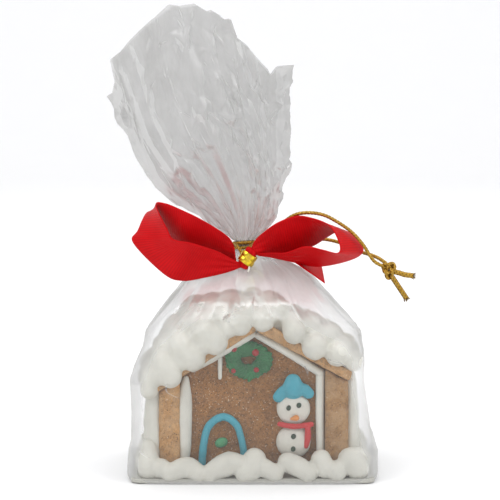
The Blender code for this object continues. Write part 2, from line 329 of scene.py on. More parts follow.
UPPER_STRAND = (
    (1.6, -0.8, 85.6),
    (5.5, -4.5, 88.6),
    (10.0, -10.0, 93.2),
    (14.9, -14.5, 97.4),
    (20.1, -15.5, 98.6),
    (26.4, -14.0, 97.6),
    (32.6, -12.0, 94.2),
    (37.5, -10.0, 90.4),
    (41.4, -8.5, 85.9),
    (43.8, -7.6, 82.1),
    (45.8, -7.0, 79.4),
    (48.2, -6.6, 77.9),
    (50.2, -6.3, 77.0),
)
LOWER_STRAND = (
    (1.5, 1.4, 85.2),
    (8.0, 4.0, 85.6),
    (17.0, 4.4, 86.6),
    (27.0, 3.4, 86.8),
    (35.0, 2.0, 85.0),
    (41.0, 0.2, 82.3),
    (44.6, -2.0, 81.4),
    (47.4, -4.2, 80.4),
    (50.2, -5.6, 78.6),
)
KNOT_CENTRE = (51.3, -6.2, 76.2)
KNOT_SIZE = (0.8, 0.95, 1.1)
UPPER_END = ((53.4, -6.2, 75.4), (55.4, -6.2, 74.9), (57.4, -6.4, 74.3), (60.4, -6.3, 73.9))
LOWER_END = ((52.2, -6.2, 74.0), (53.6, -6.2, 71.9), (55.4, -6.4, 69.2), (58.0, -6.3, 65.3))
NECK = (-3.5, 0.0)
NECK_CORD_RADIUS = 3.9
NECK_CORD_HEIGHT = 85.2
BRAID_LAY = 1.3  # millimetres along the cord from one crossing of the yarns to the next
BRAID_YARNS = 3


def braid_material(settings):
    """Metal yarn: bright gold on the yarns' crowns, darkened by painted shade in the grooves between them.
    """
    material, tree, shader = start_material(
        "gold braid", settings.cord_gold, 0.34, Metallic=0.85, Specular_IOR_Level=0.6
    )
    where = object_place(tree)
    groove = add_node(tree, "ShaderNodeAttribute", attribute_name="groove").outputs["Fac"]
    # painted shade: the gold darkens towards the grooves between the yarns
    shade = add_ramp(tree, groove, 0.15, 0.85, (0.12, 0.06, 0.012), settings.cord_gold)
    fleck = add_ramp(tree, add_noise(tree, where, 0.35, 3.0), 0.5, 0.72)
    tree.links.new(
        mix_colours(tree, fleck, shade, (0.72, 0.50, 0.12)), shader.inputs["Base Color"]
    )
    add_bump(tree, shader, add_noise(tree, where, 0.12, 2.0), 0.03, 0.6)
    return material


def braid_tube(points, diameter, closed=False):
    """A cord of yarns crossing both ways round it, with how deep each spot lies in its groove for the
    painted shade there.
    """
    total = path_length(points) / MM
    rows = max(8, round(total / 0.22))
    frames = path_frames(points, closed)
    spans = len(frames) if closed else len(frames) - 1
    radius = diameter / 2

    def crown(across, along):
        turn = 2 * math.pi * across
        twist = 2 * math.pi * along * total / (BRAID_LAY * BRAID_YARNS)
        right = math.cos(BRAID_YARNS * (turn - twist))
        left = math.cos(BRAID_YARNS * (turn + twist))
        return max(right, left)

    def where(across, along):
        span = min(int(along * spans), spans - 1)
        share = along * spans - span
        a, b = frames[span], frames[(span + 1) % len(frames)]
        spot, side, up = (first.lerp(second, share) for first, second in zip(a, b))
        turn = 2 * math.pi * across
        reach = radius * (0.86 + 0.16 * crown(across, along))
        return spot + (side.normalized() * math.cos(turn) + up.normalized() * math.sin(turn)) * reach

    bm = bmesh.new()
    bm.loops.layers.uv.new("UVMap")
    groove = bm.verts.layers.float.new("groove")
    bmesh.ops.create_grid(bm, x_segments=18, y_segments=rows, size=1.0, calc_uvs=True)
    for vert in bm.verts:
        across, along = (vert.co.x + 1) / 2, (vert.co.y + 1) / 2
        vert[groove] = 0.5 + 0.5 * crown(across, along)
        vert.co = where(across, along)
    close_tube(bm)
    return bm


def route_places(route, count):
    return [place(*spot) for spot in even_points(route, count)]


def frayed_end(context, name, route, material, node, seed):
    """A cut end of the cord, its braid opened a little and loosened into fine yarns at the tip."""
    rng = random.Random(seed)
    points = route_places(route, 24)
    joined = braid_tube(points, 2.1 * MM)
    line = [Vector(spot) for spot in even_points(route, 24)]
    tip = line[-1]
    ahead = (tip - line[-3]).normalized()
    side = ahead.orthogonal().normalized()
    for yarn in range(22):
        turn = Matrix.Rotation(yarn * 2.4, 3, ahead)
        spread = (turn @ side) * rng.uniform(0.35, 0.95)
        start = tip - ahead * 0.6 + spread
        reach = rng.uniform(0.9, 1.7)
        bend = [start + (ahead + spread * 0.45 * share) * reach * share for share in (0, 0.35, 0.7, 1)]
        merge_into(joined, plain_tube([place(*spot) for spot in bend], 0.13 * MM, 5))
    return new_piece(context, name, joined, [material], [node])


def merge_into(joined, bm):
    """Adds one bmesh's shape to another and frees it."""
    mesh = bpy.data.meshes.new("part")
    bm.to_mesh(mesh)
    bm.free()
    joined.from_mesh(mesh)
    bpy.data.meshes.remove(mesh)


def plain_tube(points, radius, sides, closed=False):
    """A plain round tube through points."""
    frames = path_frames(points, closed)
    spans = len(frames) if closed else len(frames) - 1

    def where(across, along):
        index = min(round(along * spans), spans) % len(frames)
        spot, side, up = frames[index]
        turn = 2 * math.pi * across
        return spot + (side * math.cos(turn) + up * math.sin(turn)) * radius

    bm = mapped_grid(sides, spans, where)
    close_tube(bm)
    return bm


class GIFT_OT_gold_cord(bpy.types.Operator):
    """Make the gold cord: its turn round the neck, both strands, the knot and the two ends"""

    bl_idname = "gift.gold_cord"
    bl_label = "Gold cord"

    def execute(self, context):
        wrap = context.scene.gift_wrap
        gold = braid_material(wrap)
        self.make_neck_turn(context, wrap, gold)
        knot = self.make_knot(context, gold)
        upper_end = frayed_end(context, "cord_end_1", UPPER_END, gold, "cord_end_upper", 3)
        lower_end = frayed_end(context, "cord_end_2", LOWER_END, gold, "cord_end_lower", 8)
        strands = (
            ("cord_upper", UPPER_STRAND, "cord_strand_upper", [knot, upper_end]),
            ("cord_lower", LOWER_STRAND, "cord_strand_lower", [lower_end]),
        )
        for name, route, node, pieces in strands:
            points = route_places(route, 90)
            tube = braid_tube(points, wrap.cord_diameter)
            strand = new_piece(context, name, tube, [gold], [node])
            path_length(points)
            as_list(pieces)
        return {"FINISHED"}

    def make_neck_turn(self, context, wrap, gold):
        """Two turns round the gathered neck and a V that runs down to the tie."""
        joined = bmesh.new()
        for lift in (-0.7, 0.7):
            ring = []
            for step in range(48):
                turn = 2 * math.pi * step / 48
                height = NECK_CORD_HEIGHT + lift + 0.35 * math.sin(turn + lift)
                x = NECK[0] + NECK_CORD_RADIUS * math.sin(turn)
                ring.append(place(x, -NECK_CORD_RADIUS * math.cos(turn), height))
            merge_into(joined, braid_tube(ring + ring[:1], wrap.cord_diameter * 0.9))
        for side in (-1, 1):
            leg = (
                (NECK[0] + 3.1 * side, -3.4, 85.6),
                (NECK[0] + 2.3 * side, -6.0, 85.0),
                (NECK[0] + 1.2 * side, -7.6, 83.4),
                (NECK[0] + 0.5 * side, -8.0, 81.6),
            )
            merge_into(joined, braid_tube(route_places(leg, 24), wrap.cord_diameter * 0.9))
        new_piece(context, "neck_braid", joined, [gold], ["neck_cord"])

    def make_knot(self, context, gold):
        """The overhand knot: a trefoil of the cord with a second turn drawn tight over it."""
        across, through, up = KNOT_SIZE
        joined = bmesh.new()
        for size, tilt in ((1.0, 0.0), (0.8, 1.1)):
            turn = []
            for step in range(72):
                t = 2 * math.pi * step / 72 + tilt
                x = size * across * (math.sin(t) + 2 * math.sin(2 * t))
                y = -through * math.sin(3 * t) - 0.35 * tilt
                z = size * up * (math.cos(t) - 2 * math.cos(2 * t))
                if tilt:
                    x, z = z * across / up, x * up / across
                turn.append(place(KNOT_CENTRE[0] + x, KNOT_CENTRE[1] + y, KNOT_CENTRE[2] + z))
            merge_into(joined, braid_tube(turn + turn[:1], 1.4 * MM))
        return new_piece(context, "knot", joined, [gold], ["cord_knot"])


# ---------------------------------------------------------------- gingerbread

WALL_FRONT = -25.0  # the front wall stands back between the ends of the side walls
WALL_THICKNESS = 5.0
SIDE_FRONT = -29.0
SIDE_BACK = 29.0
LEFT_WALL = (-34.9, -27.1)
RIGHT_WALL = (26.7, 35.4)
BOARD_TOP = 1.9
APEX = (1.1, 56.0)  # where the undersides of the roof panels meet
LEFT_PITCH = 32.0  # degrees
RIGHT_PITCH = 28.5
LEFT_EAVE = -36.5
RIGHT_EAVE = 35.6
PANEL_THICKNESS = 4.4
PANEL_FRONT = -31.0
PANEL_BACK = 31.0


def under_roof(x):
    """Height of the roof panels' underside at a place across the house."""
    pitch = LEFT_PITCH if x < APEX[0] else RIGHT_PITCH
    return APEX[1] - abs(x - APEX[0]) * math.tan(math.radians(pitch))


def prism(outline, front, back):
    """A slab from an outline in the XZ plane, run from front to back."""
    bm = bmesh.new()
    corners = [bm.verts.new(place(x, front, z)) for x, z in outline]
    face = bm.faces.new(corners)
    run = bmesh.ops.extrude_face_region(bm, geom=[face])["geom"]
    moved = [item for item in run if isinstance(item, bmesh.types.BMVert)]
    bmesh.ops.translate(bm, vec=Vector((0.0, (back - front) * MM, 0.0)), verts=moved)
    bmesh.ops.recalc_face_normals(bm, faces=bm.faces)
    return bm


def round_edges(bm, width):
    bmesh.ops.bevel(
        bm,
        geom=list(bm.edges),
        offset=width * MM,
        offset_type="OFFSET",
        segments=3,
        profile=0.5,
        affect="EDGES",
        clamp_overlap=True,
        material=-1,
    )


def melt(context, piece, cell, passes):
    """Melts overlapping shapes into one skin of even cells and softens the creases between them."""
    remesh = piece.modifiers.new("melt", "REMESH")
    remesh.mode = "VOXEL"
    remesh.voxel_size = cell
    remesh.use_smooth_shade = True
    if passes:
        soften = piece.modifiers.new("soften", "SMOOTH")
        soften.factor = 0.5
        soften.iterations = passes
    apply_modifiers(context, piece)
    piece.data.shade_smooth()


def roughen(piece, depth, size, seed, pits=0.0):
    """Moves a skin in and out by noise; pits are small hollows where the noise is high."""
    shift = Vector((seed * 7.3, seed * 3.1, seed * 5.7))
    normals = [vert.normal.copy() for vert in piece.data.vertices]
    for vert, normal in zip(piece.data.vertices, normals):
        spot = vert.co / (size * MM) + shift
        lift = noise.noise(spot) + 0.5 * noise.noise(spot * 2.3)
        if pits:
            fine = noise.noise(spot * 5.1 + shift)
            lift -= pits * max(0.0, fine - 0.25)
        vert.co += normal * lift * depth * MM
    piece.data.update()


def gingerbread_material(name, colour, cut, seed):
    """Baked dough: blotches of browner and paler tone, pores darkened as painted shade, pale flour specks
    and a fine open crumb.
    """
    material, tree, shader = start_material(name, colour, 0.82, Specular_IOR_Level=0.25)
    where = add_node(
        tree,
        "ShaderNodeMapping",
        {"Vector": object_place(tree), "Location": (seed, seed * 0.5, seed * 0.3)},
    ).outputs["Vector"]
    dark = tuple(value * share for value, share in zip(colour, (0.6, 0.52, 0.46)))
    warm = tuple(min(1.0, value * share) for value, share in zip(colour, (1.45, 1.35, 1.15)))
    blotch = add_ramp(tree, add_noise(tree, where, 9.0, 4.0, 0.6), 0.35, 0.68)
    tone = mix_colours(tree, blotch, dark, warm)
    mottle = add_ramp(tree, add_noise(tree, where, 1.5, 5.0, 0.75), 0.34, 0.66)
    tone = mix_colours(tree, 0.6, tone, mix_colours(tree, mottle, dark, warm))
    # painted shade in the pores: they are darkened to 0.35 of the colour
    pore_shade = add_ramp(tree, add_noise(tree, where, 0.6, 2.0), 0.58, 0.68)
    tone = mix_colours(tree, pore_shade, tone, tuple(value * 0.35 for value in colour))
    speck = add_ramp(tree, add_noise(tree, where, 0.45, 1.0), 0.70, 0.74)
    tone = mix_colours(tree, speck, tone, (0.72, 0.62, 0.48))
    if cut:
        edge = add_ramp(tree, add_noise(tree, where, 5.0, 3.0), 0.4, 0.6)
        tone = mix_colours(tree, edge, tone, mix_colours(tree, 0.35, tone, (0.62, 0.42, 0.24)))
    tree.links.new(tone, shader.inputs["Base Color"])
    grain = add_noise(tree, where, 0.5, 6.0, 0.75)
    add_bump(tree, shader, grain, 0.22, 0.7)
    return material


class GIFT_OT_board(bpy.types.Operator):
    """Make the thin board that the house stands on"""

    bl_idname = "gift.board"
    bl_label = "Board"

    def execute(self, context):
        outline = ((-45.2, 0.35), (45.0, 0.35), (45.0, BOARD_TOP), (-45.2, BOARD_TOP))
        bm = prism(outline, -36.2, 36.2)
        upright = [e for e in bm.edges if abs((e.verts[0].co - e.verts[1].co).z) > MM]
        bmesh.ops.bevel(
            bm,
            geom=upright,
            offset=4.0 * MM,
            offset_type="OFFSET",
            segments=6,
            profile=0.5,
            affect="EDGES",
            clamp_overlap=True,
            material=-1,
        )
        material, tree, shader = start_material("white board", (0.62, 0.62, 0.58), 0.55)
        where = object_place(tree)
        fibres = add_ramp(tree, add_noise(tree, where, 0.6, 4.0), 0.3, 0.7)
        tree.links.new(
            mix_colours(tree, fibres, (0.42, 0.415, 0.37), (0.50, 0.495, 0.45)),
            shader.inputs["Base Color"],
        )
        add_bump(tree, shader, add_noise(tree, where, 0.4, 3.0), 0.05, 0.5)
        board = new_piece(context, "board", bm, [material], smooth_angle=40.0)
        bevel = board.modifiers.new("edge", "BEVEL")
        bevel.width = 0.3 * MM
        bevel.segments = 2
        bevel.limit_method = "ANGLE"
        return {"FINISHED"}


class GIFT_OT_walls(bpy.types.Operator):
    """Bake the four walls of the house"""

    bl_idname = "gift.walls"
    bl_label = "Walls"

    def execute(self, context):
        house = context.scene.gift_house
        crust = gingerbread_material("gingerbread face", tuple(house.crust), False, 1.0)
        cut = gingerbread_material("gingerbread cut edge", tuple(house.cut_edge), True, 2.0)
        # painted shade: the right wall's cut edge is a darker copy of the cut edge, at 0.72 of its colour,
        # for the shaded right side
        shaded_cut = gingerbread_material(
            "gingerbread cut edge in painted shade", tuple(value * 0.72 for value in house.cut_edge), True, 4.0
        )
        low = BOARD_TOP + 0.2
        left, right = LEFT_WALL[1] - 0.4, RIGHT_WALL[0] + 0.4
        gable = (
            (left, low),
            (right, low),
            (right, under_roof(right) - 0.3),
            (APEX[0], APEX[1] - 0.3),
            (left, under_roof(left) - 0.3),
        )
        self.bake(context, "wall_front", gable, WALL_FRONT, WALL_FRONT + WALL_THICKNESS, crust, 0.55)
        self.bake(context, "wall_back", gable, -WALL_FRONT - WALL_THICKNESS, -WALL_FRONT, crust, 0.75)
        sides = (("wall_left", LEFT_WALL, cut), ("wall_right", RIGHT_WALL[::-1], shaded_cut))
        for name, (outer, inner), edge in sides:
            outline = (
                (min(outer, inner), low),
                (max(outer, inner), low),
                (max(outer, inner), under_roof(max(outer, inner)) - 0.3),
                (min(outer, inner), under_roof(min(outer, inner)) - 0.3),
            )
            self.bake(context, name, outline, SIDE_FRONT, SIDE_BACK, edge, 0.75)
        return {"FINISHED"}

    def bake(self, context, name, outline, front, back, material, cell):
        bm = prism(outline, front, back)
        round_edges(bm, 0.7)
        wall = new_piece(context, name, bm, [material])
        melt(context, wall, cell * MM, 3)
        roughen(wall, 0.16, 3.2, len(name), pits=0.8)


class GIFT_OT_roof(bpy.types.Operator):
    """Bake the two roof panels"""

    bl_idname = "gift.roof"
    bl_label = "Roof panels"

    def execute(self, context):
        house = context.scene.gift_house
        cut = gingerbread_material("gingerbread roof", tuple(house.cut_edge), True, 3.0)
        sides = (
            ("roof_left", LEFT_EAVE, LEFT_PITCH),
            ("roof_right", RIGHT_EAVE, RIGHT_PITCH),
        )
        for name, eave, pitch in sides:
            lift = PANEL_THICKNESS / math.cos(math.radians(pitch))
            lean = PANEL_THICKNESS * math.sin(math.radians(pitch)) * (1 if eave > 0 else -1)
            outline = (
                (APEX[0], APEX[1]),
                (eave, under_roof(eave)),
                (eave + lean * 0.6, under_roof(eave) + lift * 0.7),
                (APEX[0], APEX[1] + lift),
            )
            bm = prism(outline, PANEL_FRONT, PANEL_BACK)
            round_edges(bm, 0.7)
            panel = new_piece(context, name, bm, [cut])
            melt(context, panel, 0.7 * MM, 3)
            roughen(panel, 0.18, 3.0, len(name) + 2, pits=0.8)
        return {"FINISHED"}


# ---------------------------------------------------------------- icing

FRONT = -31.0  # the icing lumps that hang over the roof's front edge

# Strokes of icing piped up the roof from its front edge: (x, y, z, radius) along each.
LEFT_ROOF_STROKES = (
    ((-38.4, -29.2, 34.2, 3.7), (-38.0, -26, 39.0, 3.9), (-36.5, -19, 41.5, 4.2)),
    ((-30.5, FRONT, 39.5, 4.5), (-33.2, -27, 44.3, 4.3), (-33.2, -17, 48.5, 4.8)),
    ((-22.2, FRONT, 45.8, 4.7), (-26.5, -27, 50.8, 4.7), (-28.2, -15, 56.0, 5.0)),
    ((-13.9, FRONT, 52.0, 4.7), (-19.0, -27, 56.8, 4.7), (-23.2, -14, 60.8, 5.0)),
    ((-4.8, -30.2, 58.6, 4.4), (-9.9, -27, 60.5, 4.5), (-15.8, -18, 63.2, 4.8)),
    ((-0.9, -28.4, 62.4, 3.5), (-2.8, -23, 64.6, 3.8), (-8.5, -16, 64.6, 4.2)),
    ((-34.8, -30.0, 38.6, 3.2), (-35.0, -25, 44.0, 3.6)),
    ((-26.4, -30.0, 44.6, 3.5), (-29.0, -24, 50.0, 3.8)),
    ((-18.1, -30.0, 50.8, 3.6), (-22.0, -24, 55.6, 3.8)),
    ((-9.5, -30.0, 56.8, 3.5), (-13.0, -25, 60.5, 3.6)),
)
RIGHT_ROOF_STROKES = (
    ((3.8, -29.6, 59.8, 4.2), (6.0, -25, 62.6, 4.0)),
    ((5.0, -19, 65.8, 3.9), (6.0, -16, 65.8, 3.9)),
    ((9.8, -25.5, 62.4, 3.8), (10.2, -18, 62.6, 4.0)),
    ((15.2, -30.6, 55.8, 4.4), (14.2, -26.5, 59.4, 3.7)),
    ((22.6, FRONT, 50.2, 4.8), (22.8, -27.5, 51.8, 4.2)),
    ((21.4, -25, 57.8, 3.7), (20.5, -17, 58.0, 4.2)),
    ((28.0, -26, 54.4, 3.7), (28.5, -18, 54.0, 4.2)),
    ((31.2, -30.6, 47.5, 4.7), (32.4, -25, 50.0, 4.0)),
    ((36.6, -27.6, 44.0, 3.7), (37.4, -25, 45.0, 3.4)),
)
# Height of the piled icing across the roof, behind its front edge.
CREST = (
    (-41.0, 36.0),
    (-38.0, 44.0),
    (-32.0, 54.0),
    (-27.0, 61.0),
    (-21.4, 65.8),
    (-8.0, 67.6),
    (8.3, 66.8),
    (13.0, 62.8),
    (21.0, 60.0),
    (28.0, 56.5),
    (35.0, 50.5),
    (41.0, 43.0),
)
# Icing piped along the front of the board, from left to right.
BASE_STROKES = (
    ((-38.4, -31.8, 5.0, 4.4), (-38.6, -30.6, 8.4, 3.8), (-38.8, -28.0, 12.5, 3.0)),
    ((-34.6, -33.4, 5.0, 3.4), (-33.8, -32.6, 5.8, 3.2)),
    ((-30.7, -34.4, 3.9, 3.4), (-24.5, -33.2, 5.6, 4.1), (-20.2, -34.4, 3.6, 3.4)),
    ((-16.2, -34.4, 3.5, 3.4), (-9.8, -32.6, 6.7, 4.6), (-5.6, -33.0, 7.2, 3.4)),
    ((0.6, -31.6, 8.4, 4.3), (-0.6, -33.6, 4.9, 4.3), (-3.4, -34.6, 3.4, 3.2)),
    ((4.4, -33.4, 5.4, 3.6), (7.8, -34.2, 3.8, 3.5)),
    ((12.7, -32.0, 7.4, 3.7), (17.3, -33.6, 5.6, 3.9), (20.3, -34.4, 3.7, 3.5)),
    ((25.1, -32.0, 8.4, 3.8), (26.8, -33.4, 5.3, 3.9)),
    ((30.8, -34.0, 4.2, 3.8), (31.4, -33.4, 5.0, 3.7)),
    ((36.0, -32.0, 8.2, 4.8), (38.6, -31.8, 4.9, 4.4)),
    ((38.8, -29.0, 8.9, 3.8), (40.6, -24.0, 7.4, 3.8)),
)
GABLE_LINE_LEFT = (
    (-22.2, -26.4, 41.6, 1.5),
    (-15.0, -26.6, 46.9, 2.7),
    (-9.0, -26.7, 50.9, 3.0),
    (-3.0, -26.5, 53.6, 2.3),
    (0.4, -26.3, 54.6, 1.1),
)
GABLE_LINE_RIGHT = ((24.8, -26.6, 40.0, 1.6), (12.5, -26.6, 47.9, 1.65), (1.6, -26.4, 54.0, 1.3))
CORNER_LINE_LEFT = (
    (-24.9, -26.0, 37.8, 1.1),
    (-25.3, -26.2, 31.0, 2.6),
    (-25.6, -26.4, 24.0, 3.0),
    (-25.5, -26.4, 14.0, 2.6),
    (-25.7, -26.2, 7.0, 2.0),
)
CORNER_LINE_RIGHT = ((24.9, -26.2, 40.0, 1.7), (24.8, -26.4, 24.0, 1.6), (25.1, -26.2, 10.0, 1.5))
WINDOW_STUB = ((-12.2, -25.6, 45.5, 1.0), (-12.3, -25.6, 38.0, 0.8))


def unit_ball(detail):
    """Corners and faces of a ball of radius one."""
    bm = bmesh.new()
    bmesh.ops.create_icosphere(bm, subdivisions=detail, radius=1.0)
    corners = [vert.co.copy() for vert in bm.verts]
    faces = [[vert.index for vert in face.verts] for face in bm.faces]
    bm.free()
    return corners, faces


UNIT_BALL = unit_ball(3)


def ball(bm, centre, radii, turn=None):
    """A ball with three radii, stretched and turned, at a place from the house's axis."""
    size = Matrix.Diagonal((*(radius * MM for radius in radii), 1.0))
    matrix = Matrix.Translation(place(*centre)) @ (turn or Matrix()) @ size
    corners, faces = UNIT_BALL
    verts = [bm.verts.new(matrix @ corner) for corner in corners]
    for face in faces:
        bm.faces.new([verts[index] for index in face])


def stroke(bm, points, flat=1.0):
    """A piped line: balls close together along a smooth curve through (x, y, z, radius)."""
    length = sum(math.dist(a[:3], b[:3]) for a, b in zip(points, points[1:]))
    thin = min(point[3] for point in points)
    count = max(2, math.ceil(length / (0.35 * thin)))
    for step in range(count + 1):
        x, y, z, radius = smooth_path(points, step / count)
        ball(bm, (x, y, z), (radius, radius * flat, radius))


def icing_material(name, colour, shade=0.9, roughness=0.42):
    """Dried royal icing: faintly uneven in tone, with a fine sugary grain."""
    material, tree, shader = start_material(
        name, colour, roughness, Specular_IOR_Level=0.35, Subsurface_Weight=0.12
    )
    shader.inputs["Subsurface Scale"].default_value = 1.2 * MM
    shader.inputs["Subsurface Radius"].default_value = (1.0, 0.9, 0.75)
    where = object_place(tree)
    cloud = add_ramp(tree, add_noise(tree, where, 6.0, 4.0), 0.3, 0.7)
    tone = mix_colours(tree, cloud, tuple(value * shade for value in colour), colour)
    speck = add_ramp(tree, add_noise(tree, where, 0.5, 2.0), 0.7, 0.78)
    tone = mix_colours(tree, speck, tone, tuple(value * 0.78 for value in colour))
    tree.links.new(tone, shader.inputs["Base Color"])
    add_bump(tree, shader, add_noise(tree, where, 0.35, 4.0, 0.6), 0.05, 0.5)
    return material


def crest_height(x):
    for below, above in zip(CREST, CREST[1:]):
        if x <= above[0]:
            share = max(0.0, (x - below[0]) / (above[0] - below[0]))
            return below[1] + (above[1] - below[1]) * share
    return CREST[-1][1]


class GIFT_OT_icing(bpy.types.Operator):
    """Pipe the white icing: the roof's thick cover, the lumps round the board and the walls' lines"""

    bl_idname = "gift.icing"
    bl_label = "White icing"

    def execute(self, context):
        house = context.scene.gift_house
        white = icing_material("white icing", tuple(house.icing))
        cell = house.melt_size
        self.pipe(context, "roof_icing", self.roof(), white, cell, 5, 0.28)
        self.pipe(context, "base_icing", self.base(), white, cell * 0.9, 4, 0.22)
        coats = (("side_icing_left", LEFT_WALL[0], -1), ("side_icing_right", RIGHT_WALL[1], 1))
        for name, wall, side in coats:
            self.pipe(context, name, self.side(wall, side), white, cell * 1.2, 4, 0.3)
        lines = (
            ("gable_line_left", GABLE_LINE_LEFT, 1.0),
            ("gable_line_right", GABLE_LINE_RIGHT, 1.0),
            ("corner_line_left", CORNER_LINE_LEFT, 0.8),
            ("corner_line_right", CORNER_LINE_RIGHT, 0.9),
            ("icing_stub", WINDOW_STUB, 0.8),
        )
        for name, points, flat in lines:
            bm = bmesh.new()
            stroke(bm, points, flat)
            self.pipe(context, name, bm, white, 0.32 * MM, 3, 0.1)
        return {"FINISHED"}

    def pipe(self, context, name, bm, material, cell, passes, depth):
        piece = new_piece(context, name, bm, [material])
        melt(context, piece, cell, passes)
        roughen(piece, depth, 4.5, len(name))

    def roof(self):
        rng = random.Random(21)
        bm = bmesh.new()
        for points in LEFT_ROOF_STROKES + RIGHT_ROOF_STROKES:
            stroke(bm, points)
        for row in range(6):
            y = -22.0 + row * 9.4
            for step in range(11):
                x = max(-37.5, min(34.8, -37.0 + step * 7.4 + rng.uniform(-1.2, 1.2)))
                radius = rng.uniform(4.4, 5.4)
                top = crest_height(x) - 0.1 * max(0.0, y) - (2.0 if row in (0, 5) else 0.0)
                z = top - radius + rng.uniform(-0.6, 0.4)
                ball(bm, (x, y + rng.uniform(-1.5, 1.5), z), (radius * 1.1, radius * 1.2, radius))
        for step in range(9):
            x = -36.0 + step * 9.0
            z = under_roof(x) + PANEL_THICKNESS + 1.6
            ball(bm, (x, 29.5, z), (4.6, 4.4, 4.2))
        self.fill(bm)
        return bm

    def fill(self, bm):
        """The icing's body between its lumps and the panels, sitting a little into the baked roof."""
        for step in range(19):
            x = -36.0 + step * 4.0
            low = under_roof(x) + PANEL_THICKNESS - 0.6
            high = crest_height(x) - 3.2
            middle = (low + high) / 2
            size = Vector((4.6, 54.0, max(2.0, high - low))) * MM
            matrix = Matrix.Translation(place(x, 0.0, middle)) @ Matrix.Diagonal((*size, 1.0))
            bmesh.ops.create_cube(bm, size=1.0, matrix=matrix)

    def base(self):
        rng = random.Random(5)
        bm = bmesh.new()
        for points in BASE_STROKES:
            stroke(bm, points)
        for side in (-1, 1):
            for step in range(9):
                y = -24.0 + step * 6.6
                x = side * (40.0 + rng.uniform(-0.6, 0.4))
                ball(bm, (x, y, 5.6 + rng.uniform(-0.4, 0.8)), (4.2, 4.4, 3.9))
        for step in range(13):
            x = -38.0 + step * 6.4
            ball(bm, (x, 32.4, 5.4 + rng.uniform(-0.5, 0.9)), (4.0, 3.8, 3.7))
        return bm

    def side(self, wall, side):
        """The thick coat of icing down the outer face of a side wall."""
        rng = random.Random(40 + side)
        bm = bmesh.new()
        reach = 3.4 if side < 0 else 2.2
        top = under_roof(wall) - 1.5
        for step in range(10):
            y = -24.5 + step * 5.6
            x = wall + side * (reach * 0.55 + rng.uniform(-0.3, 0.3))
            points = ((x, y, top, reach), (x + 0.4 * side, y, 20.0, reach + 0.5), (x, y, 8.0, reach + 0.8))
            stroke(bm, points)
        return bm


# ---------------------------------------------------------------- decorations

WREATH_CENTRE = (-1.7, 44.8)
WREATH_RADIUS = 5.3
WREATH_TUBE = 3.3
WREATH_FRONT = -26.2
BERRIES = ((-7.1, 49.1, 1.15), (0.9, 47.7, 1.35), (1.2, 41.3, 1.05), (-7.3, 40.9, 0.95))
DOOR_ARCH = (
    (-19.0, -26.0, 5.6, 1.5),
    (-18.4, -26.1, 13.0, 1.45),
    (-16.4, -26.1, 20.0, 1.45),
    (-11.2, -26.1, 23.4, 1.5),
    (-6.4, -26.1, 20.6, 1.4),
    (-4.2, -26.1, 14.4, 1.35),
    (-3.2, -26.0, 7.6, 1.4),
)
KNOB = (-11.8, -26.0, 13.7)
HEAD = (15.0, -26.2, 26.5)
BODY = (15.0, -26.2, 14.1)
BRIM = (
    (9.4, -27.2, 31.0, 2.1),
    (11.4, -27.5, 33.0, 2.4),
    (14.8, -27.8, 34.0, 2.5),
    (18.6, -27.5, 33.8, 2.4),
    (20.6, -27.2, 32.4, 2.1),
)
CROWN = ((14.9, -27.4, 34.2, 4.2), (14.8, -27.4, 36.8, 3.0))
SCARF = ((9.9, -28.0, 21.0, 1.0), (15.3, -29.0, 20.3, 1.1), (21.6, -28.0, 20.9, 1.0))
SCARF_TAIL = ((20.2, -28.4, 19.8, 1.1), (20.3, -28.4, 16.0, 1.25), (19.7, -28.2, 12.6, 0.9))
NOSE = ((16.0, -29.6, 23.6, 1.15), (14.2, -29.9, 23.3, 0.55))
EYES = ((13.2, 27.2), (17.0, 28.2))
BUTTONS = ((15.0, 16.5), (14.9, 11.8))


